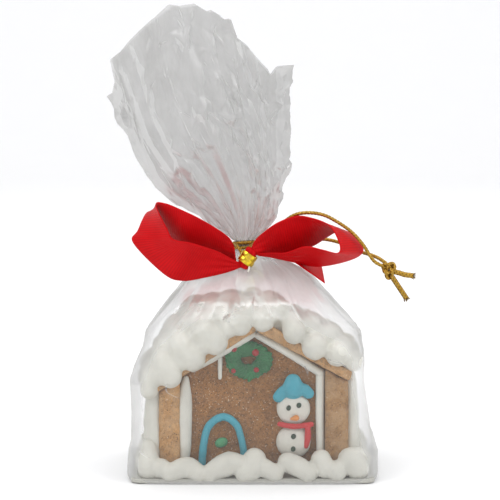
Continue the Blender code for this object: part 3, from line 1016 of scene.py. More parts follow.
class GIFT_OT_decorations(bpy.types.Operator):
    """Pipe the door, the wreath with its berries, and the snowman"""

    bl_idname = "gift.decorations"
    bl_label = "Decorations"

    def execute(self, context):
        house = context.scene.gift_house
        colours = {
            "blue": icing_material("blue icing", tuple(house.blue_icing), 0.85),
            "green": icing_material("green icing", tuple(house.green_icing), 0.6, 0.5),
            "red": icing_material("red icing", tuple(house.red_icing), 0.8),
            "berry": icing_material("berry icing", tuple(v * 0.6 for v in house.red_icing), 0.8),
            "white": icing_material("snowman icing", (0.70, 0.68, 0.61), 0.93, 0.5),
            "dark": icing_material("dark green icing", (0.02, 0.05, 0.025), 0.7),
            "knob": icing_material("knob icing", (0.06, 0.31, 0.135), 0.7),
            "orange": icing_material("orange icing", (0.70, 0.27, 0.07), 0.9),
        }
        self.wreath(context, colours)
        self.piped(context, "door_arch", [DOOR_ARCH], colours["blue"], 0.8)
        knob = bmesh.new()
        ball(knob, KNOB, (2.6, 1.3, 1.9), Matrix.Rotation(-0.35, 4, "Y"))
        self.cast(context, "door_knob", knob, colours["knob"])
        self.snowman(context, colours)
        return {"FINISHED"}

    def cast(self, context, name, bm, material, cell=0.28, depth=0.08):
        piece = new_piece(context, name, bm, [material])
        melt(context, piece, cell * MM, 3)
        roughen(piece, depth, 1.8, len(name))
        return piece

    def piped(self, context, name, strokes, material, flat=0.8, cell=0.28):
        bm = bmesh.new()
        for points in strokes:
            stroke(bm, points, flat)
        return self.cast(context, name, bm, material, cell)

    def wreath(self, context, colours):
        """A ring of short piped leaves, thick at the sides, with a small point below."""
        rng = random.Random(12)
        bm = bmesh.new()
        x, z = WREATH_CENTRE
        for step in range(30):
            turn = 2 * math.pi * step / 30
            reach = WREATH_RADIUS + 0.25 * math.sin(3 * turn + 1.0)
            radius = WREATH_TUBE * rng.uniform(0.92, 1.05)
            spot = (x + 1.1 * reach * math.cos(turn), WREATH_FRONT, z + 0.8 * reach * math.sin(turn))
            lean = Matrix.Rotation(-turn + 0.6, 4, "Y")
            ball(bm, spot, (radius, 1.5, radius * 0.72), lean)
        stroke(bm, ((x + 0.3, WREATH_FRONT, z - 6.4, 1.5), (x + 0.4, WREATH_FRONT, z - 7.8, 0.7)), 0.7)
        ring = self.cast(context, "wreath", bm, colours["green"], 0.3, 0.0)
        normals = [vert.normal.copy() for vert in ring.data.vertices]
        for vert, normal in zip(ring.data.vertices, normals):
            side = Vector((vert.co.x - place(x, 0, 0).x, 0.0, vert.co.z - z * MM))
            angle = math.atan2(side.z, side.x)
            leaf = math.sin(26 * angle + 2.2 * side.length / MM)
            vert.co += normal * (0.16 * leaf + 0.2 * noise.noise(vert.co * 900)) * MM
        for number, (left, up, radius) in enumerate(BERRIES, 1):
            berry = bmesh.new()
            ball(berry, (left, WREATH_FRONT - 1.6, up), (radius, radius * 0.8, radius))
            self.cast(context, f"berry_{number}", berry, colours["berry"], 0.2, 0.05)

    def snowman(self, context, colours):
        for name, centre, radius in (("snowman_head", HEAD, 6.3), ("snowman_body", BODY, 6.5)):
            bm = bmesh.new()
            ball(bm, centre, (radius, 2.9, radius * 0.98))
            self.cast(context, name, bm, colours["white"], 0.32)
        hat = [BRIM, CROWN]
        self.piped(context, "hat", hat, colours["blue"], 0.6)
        self.piped(context, "scarf", [SCARF, SCARF_TAIL], colours["red"], 0.7)
        self.piped(context, "nose", [NOSE], colours["orange"], 0.8, 0.18)
        dots = [("eye", index, spot, 0.95) for index, spot in enumerate(EYES, 1)]
        dots += [("button", index, spot, 0.95) for index, spot in enumerate(BUTTONS, 1)]
        for kind, index, (x, z), radius in dots:
            bm = bmesh.new()
            ball(bm, (x, -28.9, z), (radius, 0.6, radius * 1.15), Matrix.Rotation(0.3, 4, "Y"))
            self.cast(context, f"{kind}_{index}", bm, colours["dark"], 0.18, 0.05)


# ---------------------------------------------------------------- ribbon and gold tie

# Rulings across the ribbon as (front edge, back edge), from the tie round each loop and back to it.
LEFT_LOOP = (
    ((-3.4, -9.3, 78.4), (-3.8, -8.9, 78.0)),
    ((-6.4, -10.8, 80.0), (-6.4, -9.4, 78.2)),
    ((-7.5, -13.0, 87.0), (-6.5, -8.5, 80.0)),
    ((-11.0, -15.5, 91.0), (-9.0, -8.0, 80.5)),
    ((-19.5, -18.5, 96.5), (-16.5, -7.5, 81.5)),
    ((-26.5, -19.5, 100.0), (-24.5, -9.0, 84.0)),
    ((-32.5, -20.5, 102.5), (-32.0, -5.5, 88.5)),
    ((-36.0, -21.0, 102.0), (-39.0, -3.5, 98.0)),
    ((-32.0, -20.0, 93.0), (-43.5, -6.5, 91.0)),
    ((-29.5, -20.0, 89.0), (-45.0, -9.0, 86.5)),
    ((-23.5, -21.5, 88.0), (-33.5, -10.5, 75.0)),
    ((-18.5, -21.0, 86.4), (-26.5, -11.0, 72.5)),
    ((-13.5, -17.5, 84.4), (-18.0, -14.0, 74.0)),
    ((-8.5, -13.6, 81.4), (-9.0, -12.5, 76.0)),
    ((-3.5, -11.0, 78.5), (-3.7, -10.6, 78.0)),
)
RIGHT_LOOP = (
    ((-1.0, -11.2, 84.0), (-1.0, -10.9, 83.6)),
    ((0.8, -13.0, 88.0), (2.2, -10.6, 82.9)),
    ((5.0, -15.5, 92.0), (7.0, -7.5, 82.2)),
    ((9.0, -18.0, 95.0), (11.5, -6.5, 82.5)),
    ((14.5, -19.0, 97.3), (17.5, -6.5, 83.0)),
    ((19.5, -19.5, 97.5), (23.5, -5.5, 85.5)),
    ((28.0, -20.0, 94.4), (33.5, -3.5, 90.8)),
    ((32.0, -20.0, 87.6), (40.5, -4.0, 86.4)),
    ((31.5, -20.0, 84.0), (41.0, -4.5, 82.0)),
    ((26.0, -20.5, 85.2), (34.0, -6.0, 79.0)),
    ((19.5, -19.5, 86.4), (23.5, -7.5, 77.6)),
    ((12.5, -16.0, 84.0), (13.5, -9.0, 80.0)),
    ((6.5, -13.0, 83.5), (7.0, -10.0, 81.5)),
    ((2.5, -11.0, 83.0), (2.6, -9.6, 82.0)),
    ((-0.8, -10.0, 83.3), (-0.7, -9.6, 82.9)),
)
TAIL = (
    ((-0.8, -9.2, 83.3), (-0.7, -8.5, 83.4)),
    ((3.5, -7.8, 82.0), (4.0, -5.8, 82.8)),
    ((13.5, -8.0, 80.0), (14.0, 3.0, 81.5)),
    ((20.0, -11.5, 76.5), (20.6, 4.5, 79.5)),
    ((27.0, -10.5, 71.5), (26.0, 5.5, 77.5)),
)
PINCH_CENTRE = (-2.2, -9.9, 81.0)
PINCH_LEAN = 30.0
PINCH_RADIUS = 2.1
PINCH_HALF_LENGTH = 4.4
BAND_WIDTH = 4.2
RIB_ROWS = 4  # rows of faces in one rib
RIB_HEIGHT = 0.05
SELVEDGE = 0.045  # share of the width that is the plain woven edge


def ribbon_material(settings):
    """Ribbed satin: a soft sheen over crosswise ribs, painted shade in the grooves between them, a plain
    selvedge and a little unevenness.
    """
    red = tuple(settings.ribbon)
    material, tree, shader = start_material(
        "red ribbon", red, 0.5, Specular_IOR_Level=0.1
    )
    weave = add_node(tree, "ShaderNodeUVMap", uv_map="UVMap").outputs["UV"]
    cloud = add_ramp(tree, add_noise(tree, object_place(tree), 7.0, 3.0), 0.3, 0.7)
    tone = mix_colours(tree, cloud, tuple(value * 0.86 for value in red), red)
    wave = add_node(
        tree,
        "ShaderNodeTexWave",
        {"Vector": weave, "Scale": 160.0, "Distortion": 0.3},
        bands_direction="X",
    ).outputs["Fac"]
    groove = add_node(tree, "ShaderNodeAttribute", attribute_name="groove").outputs["Fac"]
    # painted shade: the red darkens in the grooves between the ribs
    groove_shade = add_ramp(tree, groove, 0.0, 0.5, (0.35,) * 3, (0.0,) * 3)
    tone = mix_colours(tree, groove_shade, tone, (0.22, 0.004, 0.006))
    tree.links.new(tone, shader.inputs["Base Color"])
    add_bump(tree, shader, wave, 0.02, 0.5)
    return material


def ribbon_strip(rulings, settings):
    """(mesh, centre length) of a ribbon laid through its rulings, ribbed and gathered where it narrows."""
    rows = [(*front, *back) for front, back in rulings]
    fine = []
    for step in range(241):
        row = smooth_path(rows, step / 240)
        fine.append((Vector(row[:3]), Vector(row[3:])))
    centres = [(front + back) / 2 for front, back in fine]
    runs = [0.0]
    for a, b in zip(centres, centres[1:]):
        runs.append(runs[-1] + (b - a).length)
    total = runs[-1]
    pitch = settings.rib_pitch / MM
    ribs = max(4, round(total / pitch))
    count = ribs * RIB_ROWS
    stations = []
    cursor = 0
    for index in range(count + 1):
        run = total * index / count
        while cursor < 239 and runs[cursor + 1] < run:
            cursor += 1
        share = (run - runs[cursor]) / max(1e-9, runs[cursor + 1] - runs[cursor])
        front = fine[cursor][0].lerp(fine[cursor + 1][0], share)
        back = fine[cursor][1].lerp(fine[cursor + 1][1], share)
        stations.append((front, back))
    normals = []
    for index, (front, back) in enumerate(stations):
        before, after = stations[max(0, index - 3)], stations[min(count, index + 3)]
        along = (after[0] + after[1]) - (before[0] + before[1])
        normals.append(along.cross(back - front).normalized())
    full = settings.ribbon_width / MM

    def rib(across, along):
        if across < SELVEDGE or across > 1 - SELVEDGE:
            return 0.75
        return 0.5 + 0.5 * math.cos(2 * math.pi * along * ribs)

    def where(across, along):
        index = round(along * count)
        front, back = stations[index]
        slack = max(0.0, 1 - (back - front).length / full)
        fold = 0.75 * slack**1.5 * math.sin(2 * math.pi * 3.2 * across + 0.8)
        edge = min(1.0, 6.0 * along, 6.0 * (1 - along))
        cup = 0.35 * (1 - (2 * across - 1) ** 2) * edge
        lift = fold * edge + cup + RIB_HEIGHT * rib(across, along)
        return place(*(front.lerp(back, across) + normals[index] * lift))

    bm = bmesh.new()
    bm.loops.layers.uv.new("UVMap")
    groove = bm.verts.layers.float.new("groove")
    bmesh.ops.create_grid(bm, x_segments=22, y_segments=count, size=1.0, calc_uvs=True)
    for vert in bm.verts:
        across, along = (vert.co.x + 1) / 2, (vert.co.y + 1) / 2
        vert[groove] = rib(across, along)
        vert.co = where(across, along)
    return bm, total * MM


class GIFT_OT_ribbon(bpy.types.Operator):
    """Tie the red ribbon: two loops and a tail, gathered at the tie"""

    bl_idname = "gift.ribbon"
    bl_label = "Ribbon bow"

    def execute(self, context):
        wrap = context.scene.gift_wrap
        material = ribbon_material(wrap)
        joined = bmesh.new()
        for rulings in (LEFT_LOOP, RIGHT_LOOP, TAIL):
            strip, length = ribbon_strip(rulings, wrap)
            merge_into(joined, strip)
        bow = new_piece(context, "bow", joined, [material], ["ribbon_bow"])
        solid = bow.modifiers.new("thickness", "SOLIDIFY")
        solid.thickness = wrap.ribbon_thickness
        solid.offset = 0.0
        self.gathered_middle(context, material)
        return {"FINISHED"}

    def gathered_middle(self, context, material):
        """The ribbon's pleats where the tie draws them together."""

        def where(across, along):
            turn = 2 * math.pi * across
            rise = 2 * along - 1
            radius = PINCH_RADIUS * (1.0 + 0.10 * rise * rise) * (1 + 0.13 * math.cos(7 * turn))
            ends = math.sqrt(max(0.0, 1 - rise**8))
            spot = Vector((math.cos(turn), math.sin(turn), 0.0)) * radius * ends
            spot.z = PINCH_HALF_LENGTH * rise
            spot.rotate(Matrix.Rotation(math.radians(PINCH_LEAN), 3, "Y"))
            return place(*(Vector(PINCH_CENTRE) + spot))

        bm = mapped_grid(84, 30, where)
        close_tube(bm)
        groove = bm.verts.layers.float.new("groove")
        for vert in bm.verts:
            vert[groove] = 0.8
        new_piece(context, "bow_middle", bm, [material])


class GIFT_OT_gold_tie(bpy.types.Operator):
    """Wind the flat gold band twice round the bow's middle"""

    bl_idname = "gift.gold_tie"
    bl_label = "Gold tie"

    def execute(self, context):
        wrap = context.scene.gift_wrap
        material, tree, shader = start_material(
            "gold foil", tuple(wrap.gold), 0.24, Metallic=1.0
        )
        where = object_place(tree)
        patch = add_ramp(tree, add_noise(tree, where, 1.4, 3.0), 0.35, 0.65)
        tree.links.new(
            mix_colours(tree, patch, (0.62, 0.40, 0.05), tuple(wrap.gold)),
            shader.inputs["Base Color"],
        )
        add_bump(tree, shader, add_noise(tree, where, 0.7, 3.0), 0.12, 0.7)
        bm = self.band()
        new_piece(context, "gold_tie", bm, [material], ["tie_band"], 50.0)
        self.paper_end(context)
        return {"FINISHED"}

    def band(self):
        """Two turns side by side, each a flat strip with rolled edges, pressed a little out of round."""
        inner, outer = PINCH_RADIUS + 0.45, PINCH_RADIUS + 0.95
        half = BAND_WIDTH / 2
        outline = [(inner, -half)]
        for low, high in ((-half, -0.12), (0.12, half)):
            for step in range(7):
                share = step / 6
                bulge = 0.16 * math.sin(math.pi * share)
                outline.append((outer + bulge, low + (high - low) * share))
        outline.append((inner, half))
        bm = bmesh.new()
        verts = [bm.verts.new((x * MM, 0.0, z * MM)) for x, z in outline]
        edges = [bm.edges.new(pair) for pair in zip(verts, verts[1:] + verts[:1])]
        bmesh.ops.spin(
            bm,
            geom=edges,
            axis=(0, 0, 1),
            cent=(0, 0, 0),
            steps=72,
            angle=2 * math.pi,
            use_merge=True,
        )
        bmesh.ops.remove_doubles(bm, verts=bm.verts, dist=1e-7)
        for vert in bm.verts:
            turn = math.atan2(vert.co.y, vert.co.x)
            dent = 1 + 0.035 * math.cos(3 * turn + 0.5) + 0.02 * math.cos(7 * turn)
            vert.co.x *= dent
            vert.co.y *= dent
            vert.co.z += 0.18 * MM * math.sin(2 * turn)
        bmesh.ops.recalc_face_normals(bm, faces=bm.faces)
        turned = Matrix.Translation(place(*PINCH_CENTRE)) @ Matrix.Rotation(
            math.radians(PINCH_LEAN), 4, "Y"
        )
        bmesh.ops.transform(bm, matrix=turned, verts=bm.verts)
        return bm

    def paper_end(self, context):
        """The twist's short white end, tucked out below the band."""
        route = ((-1.4, -11.4, 78.6), (-1.5, -12.2, 77.2), (-1.9, -12.4, 76.0))
        bm = plain_tube(route_places(route, 10), 0.35 * MM, 10)
        material, tree, shader = start_material("white paper", (0.8, 0.78, 0.7), 0.7)
        fibres = add_ramp(tree, add_noise(tree, object_place(tree), 0.3, 3.0), 0.3, 0.7)
        tree.links.new(
            mix_colours(tree, fibres, (0.7, 0.68, 0.6), (0.86, 0.84, 0.78)),
            shader.inputs["Base Color"],
        )
        new_piece(context, "tie_end", bm, [material])


# ---------------------------------------------------------------- film

# The bag: height, reach to the left and to the right of the house's axis, reach to front and back,
# and how square the section is (2 is an ellipse, 8 is nearly a box).
BAG_SECTIONS = (
    (0.0, 46.3, 45.8, 36.8, 8.0),
    (2.0, 47.0, 46.5, 38.0, 8.0),
    (10.0, 46.5, 46.5, 38.0, 7.0),
    (13.0, 45.5, 44.5, 37.5, 7.0),
    (24.0, 45.5, 43.0, 37.0, 6.5),
    (36.0, 46.0, 41.5, 36.5, 6.0),
    (46.0, 41.5, 41.5, 36.5, 6.0),
    (53.0, 40.0, 40.0, 36.5, 4.0),
    (60.0, 34.5, 33.5, 35.5, 2.8),
    (66.0, 30.0, 28.5, 30.0, 2.4),
    (72.0, 25.0, 23.0, 18.0, 2.3),
    (76.0, 20.0, 18.0, 10.0, 2.2),
    (80.0, 13.0, 10.5, 4.8, 2.1),
    (84.0, 6.4, -0.6, 2.9, 2.0),
)
TENT_START = 53.0
NECK_X = -3.5
NECK_RADIUS = 2.9
NECK_LOW = 84.0
NECK_HIGH = 86.5
# The fanned top: direction of each rim point from the vertical, and its distance from the neck.
RIM = (
    (-44.0, 75.5),
    (-41.5, 75.0),
    (-38.5, 77.5),
    (-36.0, 85.0),
    (-32.5, 85.3),
    (-21.0, 91.0),
    (-17.0, 93.5),
    (-15.0, 92.0),
    (-11.5, 91.5),
    (-9.0, 88.0),
    (-8.0, 88.2),
    (-4.8, 84.2),
    (-3.4, 84.3),
    (-2.0, 77.0),
    (1.3, 73.2),
    (5.2, 67.6),
    (9.0, 63.6),
    (10.7, 67.1),
    (15.9, 69.4),
)
FAN_DEPTH = 15.0
FAN_LEFT_BULGE = 15.0
FAN_RIGHT_BULGE = 45.0
FILM_COLUMNS = 42  # coarse creased panels round the bag
FILM_ROWS = 32  # and from the middle of its bottom to the rim
BOTTOM_SHARE = 2 / 32  # rows that lie under the board
BODY_SHARE = 16 / 32
NECK_SHARE = 17 / 32
# Depth of the creases in millimetres: at the bottom, the board, the wall, the shoulder, the tie, the
# middle of the fan and its rim.
CREASE_DEPTH = (
    (0.0, 0.0),
    (3.0, 0.05),
    (30.0, 0.12),
    (56.0, 0.3),
    (80.0, 0.25),
    (110.0, 0.75),
    (180.0, 0.6),
)

# Share of grey haze at a height, the house's reach to each side at a height, and the haze beside it.
HAZE = (
    # painted shade: the haze thickens from 0.08 to 0.14 towards the bottom to darken the pack's lower
    # front
    (0.0, 0.14),
    (12.0, 0.08),
    (50.0, 0.06),
    (64.0, 0.14),
    (74.0, 0.34),
    (88.0, 0.5),
    (180.0, 0.5),
)
HOUSE_HALF_WIDTH = ((0.0, 42.0), (40.0, 40.0), (56.0, 34.0), (70.0, 18.0))
HAZE_BESIDE = 0.3


def look_up(rows, value):
    """Linear reading of the rows' other columns at a value of their first one."""
    if value <= rows[0][0]:
        return rows[0][1:]
    for below, above in zip(rows, rows[1:]):
        if value <= above[0]:
            share = (value - below[0]) / (above[0] - below[0])
            return tuple(a + (b - a) * share for a, b in zip(below[1:], above[1:]))
    return rows[-1][1:]


def sharp_wave(turns):
    """A wave of straight flanks and sharp creases between -1 and 1."""
    return 1 - 4 * abs(turns - math.floor(turns + 0.5))


def film_body(turn, height):
    """Spot on the bag below the neck: turn round it from the middle of its front."""
    left, right, depth, square = look_up(BAG_SECTIONS, height)
    rise = max(0.0, (height - TENT_START) / (NECK_LOW - TENT_START))
    centre = NECK_X * rise**2
    side, front = math.sin(turn), math.cos(turn)
    swell = (abs(side) ** square + abs(front) ** square) ** (-1 / square)
    half = right - centre if side > 0 else left + centre
    if height > 80.0:
        half += (NECK_RADIUS - half) * (height - 80.0) / (NECK_LOW - 80.0)
    folds = 0.03 * sharp_wave(turn * 1.75 + 0.13) + 0.02 * sharp_wave(turn * 3.2 + 0.4)
    flute = 1 + folds * math.sin(math.pi * min(1.0, rise)) ** 0.8
    return Vector((centre + half * side * swell * flute, -depth * front * swell * flute, height))


def film_fan(turn, reach):
    """Spot on the fanned top: turn round it, and share of the way from neck to rim."""
    front = math.cos(turn) > -1e-9
    share = 0.5 + turn / math.pi if front else 1.5 - (turn % (2 * math.pi)) / math.pi
    lean = RIM[0][0] + (RIM[-1][0] - RIM[0][0]) * share
    (length,) = look_up(RIM, lean)
    if not front:
        length *= 0.996 + 0.006 * math.sin(9 * share)
    rising = min(1.0, max(0.0, (reach - 0.35) / 0.65))
    left = RIM[0][0] - FAN_LEFT_BULGE * (1 - rising * rising * (3 - 2 * rising))
    right = RIM[-1][0] + FAN_RIGHT_BULGE * (1 - reach) ** 2
    direction = math.radians(left + (right - left) * share)
    fullness = math.sin(math.pi / 2 * min(1.0, reach / 0.7))
    body = max(0.0, math.sin(math.pi * share)) ** 0.7
    phase = 0.1 if front else 0.38
    pleats = 1.3 * sharp_wave(4.5 * share + phase - 0.25) + 0.8 * sharp_wave(9.7 * share + 3 * phase)
    depth = NECK_RADIUS * abs(math.cos(turn)) * (1 - reach) + FAN_DEPTH * fullness * body
    depth += pleats * body * min(1.0, 2.2 * reach) * (1.15 - 0.5 * reach)
    x = NECK_X + NECK_RADIUS * math.sin(turn) * (1 - reach) + length * reach * math.sin(direction)
    z = NECK_HIGH + length * reach * math.cos(direction)
    return Vector((x, -depth if front else depth, z))


def film_spot(across, along):
    """Spot on the film: across runs once round from its left edge, along from the bottom to the rim."""
    turn = math.pi * (2 * across - 0.5)
    if turn > math.pi:
        turn -= 2 * math.pi
    if along < BOTTOM_SHARE:
        edge = film_body(turn, 0.0)
        share = 0.02 + 0.98 * along / BOTTOM_SHARE
        return Vector((edge.x * share, edge.y * share, 0.0))
    if along < BODY_SHARE:
        return film_body(turn, NECK_LOW * (along - BOTTOM_SHARE) / (BODY_SHARE - BOTTOM_SHARE))
    if along < NECK_SHARE:
        share = (along - BODY_SHARE) / (NECK_SHARE - BODY_SHARE)
        gather = NECK_RADIUS * (1 + 0.05 * math.cos(19 * turn))
        height = NECK_LOW + (NECK_HIGH - NECK_LOW) * share
        return Vector((NECK_X + gather * math.sin(turn), -gather * math.cos(turn), height))
    return film_fan(turn, ((along - NECK_SHARE) / (1 - NECK_SHARE)) ** 1.1)


def film_outward(across, along):
    """Direction that faces out of the film at a spot."""
    step = 0.004
    low, high = max(0.0, along - step), min(1.0, along + step)
    rise = film_spot(across, high) - film_spot(across, low)
    round_it = film_spot((across + step) % 1.0, along) - film_spot((across - step) % 1.0, along)
    return round_it.cross(rise).normalized()


def film_material(settings):
    """Clear film: mostly see-through, with a grey veil that thickens in the gathered top, and a gloss."""
    material = bpy.data.materials.new("clear film")
    material.use_nodes = True
    tree = material.node_tree
    tree.nodes.remove(tree.nodes["Principled BSDF"])
    output = tree.nodes["Material Output"]
    where = object_place(tree)
    veil = add_node(tree, "ShaderNodeAttribute", attribute_name="veil").outputs["Fac"]
    tall = add_node(
        tree, "ShaderNodeMapping", {"Vector": where, "Scale": (1.0, 1.0, 0.3)}
    ).outputs["Vector"]
    cloud = add_noise(tree, tall, 8.0, 4.0, 0.6)
    streaks = add_node(
        tree,
        "ShaderNodeMapRange",
        {"Value": cloud, "From Min": 0.3, "From Max": 0.7, "To Min": 0.8, "To Max": 1.2},
    ).outputs["Result"]
    haze_share = add_node(
        tree, "ShaderNodeMath", {0: veil, 1: streaks}, operation="MULTIPLY", use_clamp=True
    ).outputs["Value"]
    grazing = add_node(tree, "ShaderNodeLayerWeight", {"Blend": 0.35}).outputs["Facing"]
    thicker = add_node(
        tree, "ShaderNodeMath", {0: grazing, 1: 0.5, 2: 0.95}, operation="MULTIPLY_ADD"
    ).outputs["Value"]
    haze_share = add_node(
        tree, "ShaderNodeMath", {0: haze_share, 1: thicker}, operation="MULTIPLY", use_clamp=True
    ).outputs["Value"]
    crinkle = add_noise(tree, tall, 3.0, 4.0, 0.6)
    bump = add_node(
        tree, "ShaderNodeBump", {"Height": crinkle, "Distance": 0.12 * MM, "Strength": 0.5}
    ).outputs["Normal"]
    clear = add_node(tree, "ShaderNodeBsdfTransparent", {"Color": (0.98, 0.98, 0.978, 1)})
    haze = add_node(
        tree,
        "ShaderNodeBsdfPrincipled",
        {"Base Color": (*settings.film, 1), "Roughness": 0.4, "Normal": bump},
    )
    gloss = add_node(
        tree,
        "ShaderNodeBsdfAnisotropic",
        {"Color": (0.9, 0.9, 0.89, 1), "Roughness": 0.36, "Normal": bump},
    )
    body = add_node(
        tree, "ShaderNodeMixShader", {0: haze_share, 1: clear.outputs[0], 2: haze.outputs[0]}
    )
    mirror = add_node(tree, "ShaderNodeFresnel", {"IOR": 1.5, "Normal": bump}).outputs["Fac"]
    shine = add_node(
        tree, "ShaderNodeMath", {0: mirror, 1: 0.8, 2: 0.02}, operation="MULTIPLY_ADD"
    ).outputs["Value"]
    shine = add_node(tree, "ShaderNodeMath", {0: shine, 1: 0.27}, operation="MINIMUM").outputs["Value"]
    skin = add_node(tree, "ShaderNodeMixShader", {0: shine, 1: body.outputs[0], 2: gloss.outputs[0]})
    tree.links.new(skin.outputs[0], output.inputs["Surface"])
    return material


class GIFT_OT_film_bag(bpy.types.Operator):
    """Shape the clear film: taut round the board, drawn in to the neck and fanned out above it"""

    bl_idname = "gift.film_bag"
    bl_label = "Film bag"

    def execute(self, context):
        bm = bmesh.new()
        crease = bm.verts.layers.float.new("crease")
        veil = bm.verts.layers.float.new("veil")
        bmesh.ops.create_grid(bm, x_segments=FILM_COLUMNS, y_segments=FILM_ROWS, size=1.0)
        self.crumple(bm, crease)
        for vert in bm.verts:
            across, along = (vert.co.x + 1) / 2, (vert.co.y + 1) / 2
            spot = film_spot(across, along)
            spot += film_outward(across, along) * (vert[crease] + 0.25)
            spot.z = max(0.0, spot.z)
            vert[veil] = self.veil(spot)
            vert.co = place(*spot)
        bmesh.ops.remove_doubles(bm, verts=bm.verts, dist=1e-7)
        bottom = [e for e in bm.edges if e.is_boundary and max(v.co.z for v in e.verts) < MM]
        bmesh.ops.holes_fill(bm, edges=bottom, sides=0)
        bmesh.ops.recalc_face_normals(bm, faces=bm.faces)
        material = film_material(context.scene.gift_wrap)
        new_piece(context, "film_bag", bm, [material], ["bag"])
        return {"FINISHED"}

    def crumple(self, bm, crease):
        """Breaks the flat film into creased panels, the larger ones first and smaller ones in them."""
        rng = random.Random(8)
        self.push(bm.verts, crease, rng, 1.0, 1.0)
        bmesh.ops.triangulate(bm, faces=bm.faces, quad_method="SHORT_EDGE")
        for size in (0.42, 0.0, 0.0):
            old = set(bm.verts)
            bmesh.ops.subdivide_edges(bm, edges=bm.edges, cuts=1, use_grid_fill=True)
            if size:
                self.push([vert for vert in bm.verts if vert not in old], crease, rng, size, 0.4)

    def push(self, verts, crease, rng, size, shift):
        """Moves corners of panels sideways and sets how far they stand out of the film."""
        seams = {}
        for vert in verts:
            across, along = (vert.co.x + 1) / 2, (vert.co.y + 1) / 2
            height = film_spot(across % 1.0, along).z
            (depth,) = look_up(CREASE_DEPTH, height)
            turn = 2 * math.pi * across
            patch = noise.noise(Vector((math.sin(turn), math.cos(turn), along * 7.0)) * 1.3)
            depth *= size * max(0.25, min(1.3, 0.75 + 1.3 * patch))
            lift = rng.gauss(0.0, depth)
            on_seam = min(across, 1 - across) < 1e-6
            if on_seam:
                lift = seams.setdefault(round(along, 6), lift)
            vert[crease] += max(-2.2 * depth, min(2.2 * depth, lift))
            breaks = (0.0, BOTTOM_SHARE, BODY_SHARE, NECK_SHARE, 1.0)
            if on_seam or min(abs(along - line) for line in breaks) < 0.6 / FILM_ROWS:
                continue
            vert.co.x += rng.uniform(-0.7, 0.7) * shift / FILM_COLUMNS
            vert.co.y += rng.uniform(-0.7, 0.7) * shift / FILM_ROWS

    def veil(self, spot):
        """Share of grey haze: little close over the house, more beside it, where it is gathered and, as
        painted shade, at the bottom.
        """
        (amount,) = look_up(HAZE, spot.z)
        if spot.z < NECK_LOW:
            (edge,) = look_up(HOUSE_HALF_WIDTH, spot.z)
            beside = min(1.0, max(0.0, (abs(spot.x) - edge) / 4.0))
            amount = max(amount, HAZE_BESIDE * beside)
        return amount


# ---------------------------------------------------------------- stage

FLOOR_WIDTH = 5.0
FLOOR_FRONT = -2.2
FLOOR_BACK = 1.4
SWEEP_RADIUS = 0.7
BACKDROP_HEIGHT = 2.6
LIGHTS = (  # name, place, what it faces, size, power
    ("softbox_left", (-0.75, -0.75, 0.85), (0.0, 0.0, 0.08), 0.7, 4.4),
    ("softbox_right", (0.85, -0.6, 0.7), (0.0, 0.0, 0.08), 0.6, 3.0),
    ("softbox_top", (0.0, 0.1, 1.3), (0.0, 0.0, 0.0), 1.0, 5.0),
    ("softbox_back", (0.0, 0.55, 1.2), (0.0, 1.5, 0.5), 1.4, 7.5),
)


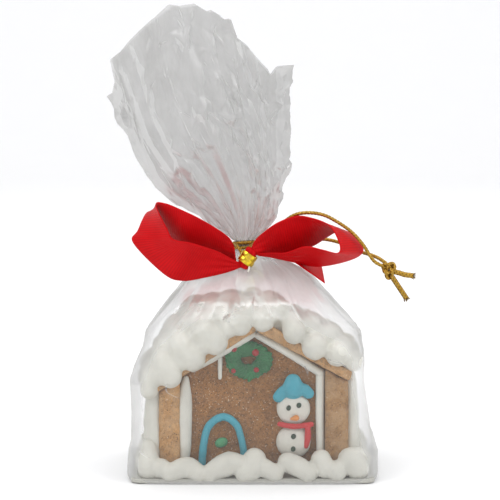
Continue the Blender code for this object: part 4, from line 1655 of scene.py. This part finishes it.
class GIFT_OT_stage(bpy.types.Operator):
    """Lay the pale floor and backdrop and set the soft studio lights"""

    bl_idname = "gift.stage"
    bl_label = "Stage"

    def execute(self, context):
        stage = context.scene.gift_stage
        self.lay_floor(context, stage)
        for name, spot, aim, size, power in LIGHTS:
            light = bpy.data.lights.new(name, "AREA")
            light.shape = "RECTANGLE"
            light.size = size
            light.size_y = size * 0.7
            light.energy = power
            lamp = bpy.data.objects.new(name, light)
            lamp.location = spot
            lamp.rotation_euler = (Vector(aim) - Vector(spot)).to_track_quat("-Z", "Y").to_euler()
            context.scene.collection.objects.link(lamp)
        world = bpy.data.worlds.new("studio")
        world.use_nodes = True
        sky = world.node_tree.nodes["Background"]
        sky.inputs["Color"].default_value = (0.97, 0.975, 1.0, 1.0)
        sky.inputs["Strength"].default_value = 0.75
        context.scene.world = world
        context.scene.view_settings.view_transform = "Standard"
        return {"FINISHED"}

    def lay_floor(self, context, stage):
        material, tree, shader = start_material("pale floor", stage.floor, 0.6)
        grain = add_noise(tree, object_place(tree), 40.0, 3.0)
        warm = tuple(value * 0.985 for value in stage.floor)
        tree.links.new(
            mix_colours(tree, grain, tuple(stage.floor), warm), shader.inputs["Base Color"]
        )
        bend = math.pi / 2 * SWEEP_RADIUS
        flat = FLOOR_BACK - FLOOR_FRONT
        total = flat + bend + BACKDROP_HEIGHT

        def where(across, along):
            run = along * total
            x = (across - 0.5) * FLOOR_WIDTH
            if run < flat:
                return Vector((x, FLOOR_FRONT + run, 0.0))
            turn = min((run - flat) / SWEEP_RADIUS, math.pi / 2)
            y = FLOOR_BACK + SWEEP_RADIUS * math.sin(turn)
            return Vector((x, y, SWEEP_RADIUS * (1 - math.cos(turn)) + max(0.0, run - flat - bend)))

        bm = mapped_grid(2, 120, where)
        mesh = bpy.data.meshes.new("floor")
        bm.to_mesh(mesh)
        bm.free()
        mesh.shade_smooth()
        mesh.materials.append(material)
        floor = bpy.data.objects.new("floor", mesh)
        context.scene.collection.objects.link(floor)


# ---------------------------------------------------------------- panel and run

OPERATORS = (
    GIFT_OT_camera,
    GIFT_OT_gold_cord,
    GIFT_OT_board,
    GIFT_OT_walls,
    GIFT_OT_roof,
    GIFT_OT_icing,
    GIFT_OT_decorations,
    GIFT_OT_film_bag,
    GIFT_OT_gold_tie,
    GIFT_OT_ribbon,
    GIFT_OT_stage,
)
SETTINGS = (
    ("gift_house", HouseSettings),
    ("gift_wrap", WrapSettings),
    ("gift_stage", StageSettings),
)


class GIFT_PT_panel(bpy.types.Panel):
    """Lists the pieces of the pack and their settings"""

    bl_idname = "GIFT_PT_panel"
    bl_label = "Gingerbread house"
    bl_space_type = "VIEW_3D"
    bl_region_type = "UI"
    bl_category = "Gingerbread"

    def draw(self, context):
        for attribute, group in SETTINGS:
            box = self.layout.box()
            for name in group.__annotations__:
                box.prop(getattr(context.scene, attribute), name)
        for operator in OPERATORS:
            self.layout.operator(operator.bl_idname)


CLASSES = (*(group for _, group in SETTINGS), *OPERATORS, GIFT_PT_panel)


def register():
    for cls in CLASSES:
        bpy.utils.register_class(cls)
    for attribute, group in SETTINGS:
        setattr(bpy.types.Scene, attribute, PointerProperty(type=group))


def unregister():
    for attribute, _ in SETTINGS:
        delattr(bpy.types.Scene, attribute)
    for cls in reversed(CLASSES):
        bpy.utils.unregister_class(cls)


def main():
    register()
    for operator in OPERATORS:
        group, name = operator.bl_idname.split(".")
        getattr(getattr(bpy.ops, group), name)()


if __name__ == "__main__":
    main()
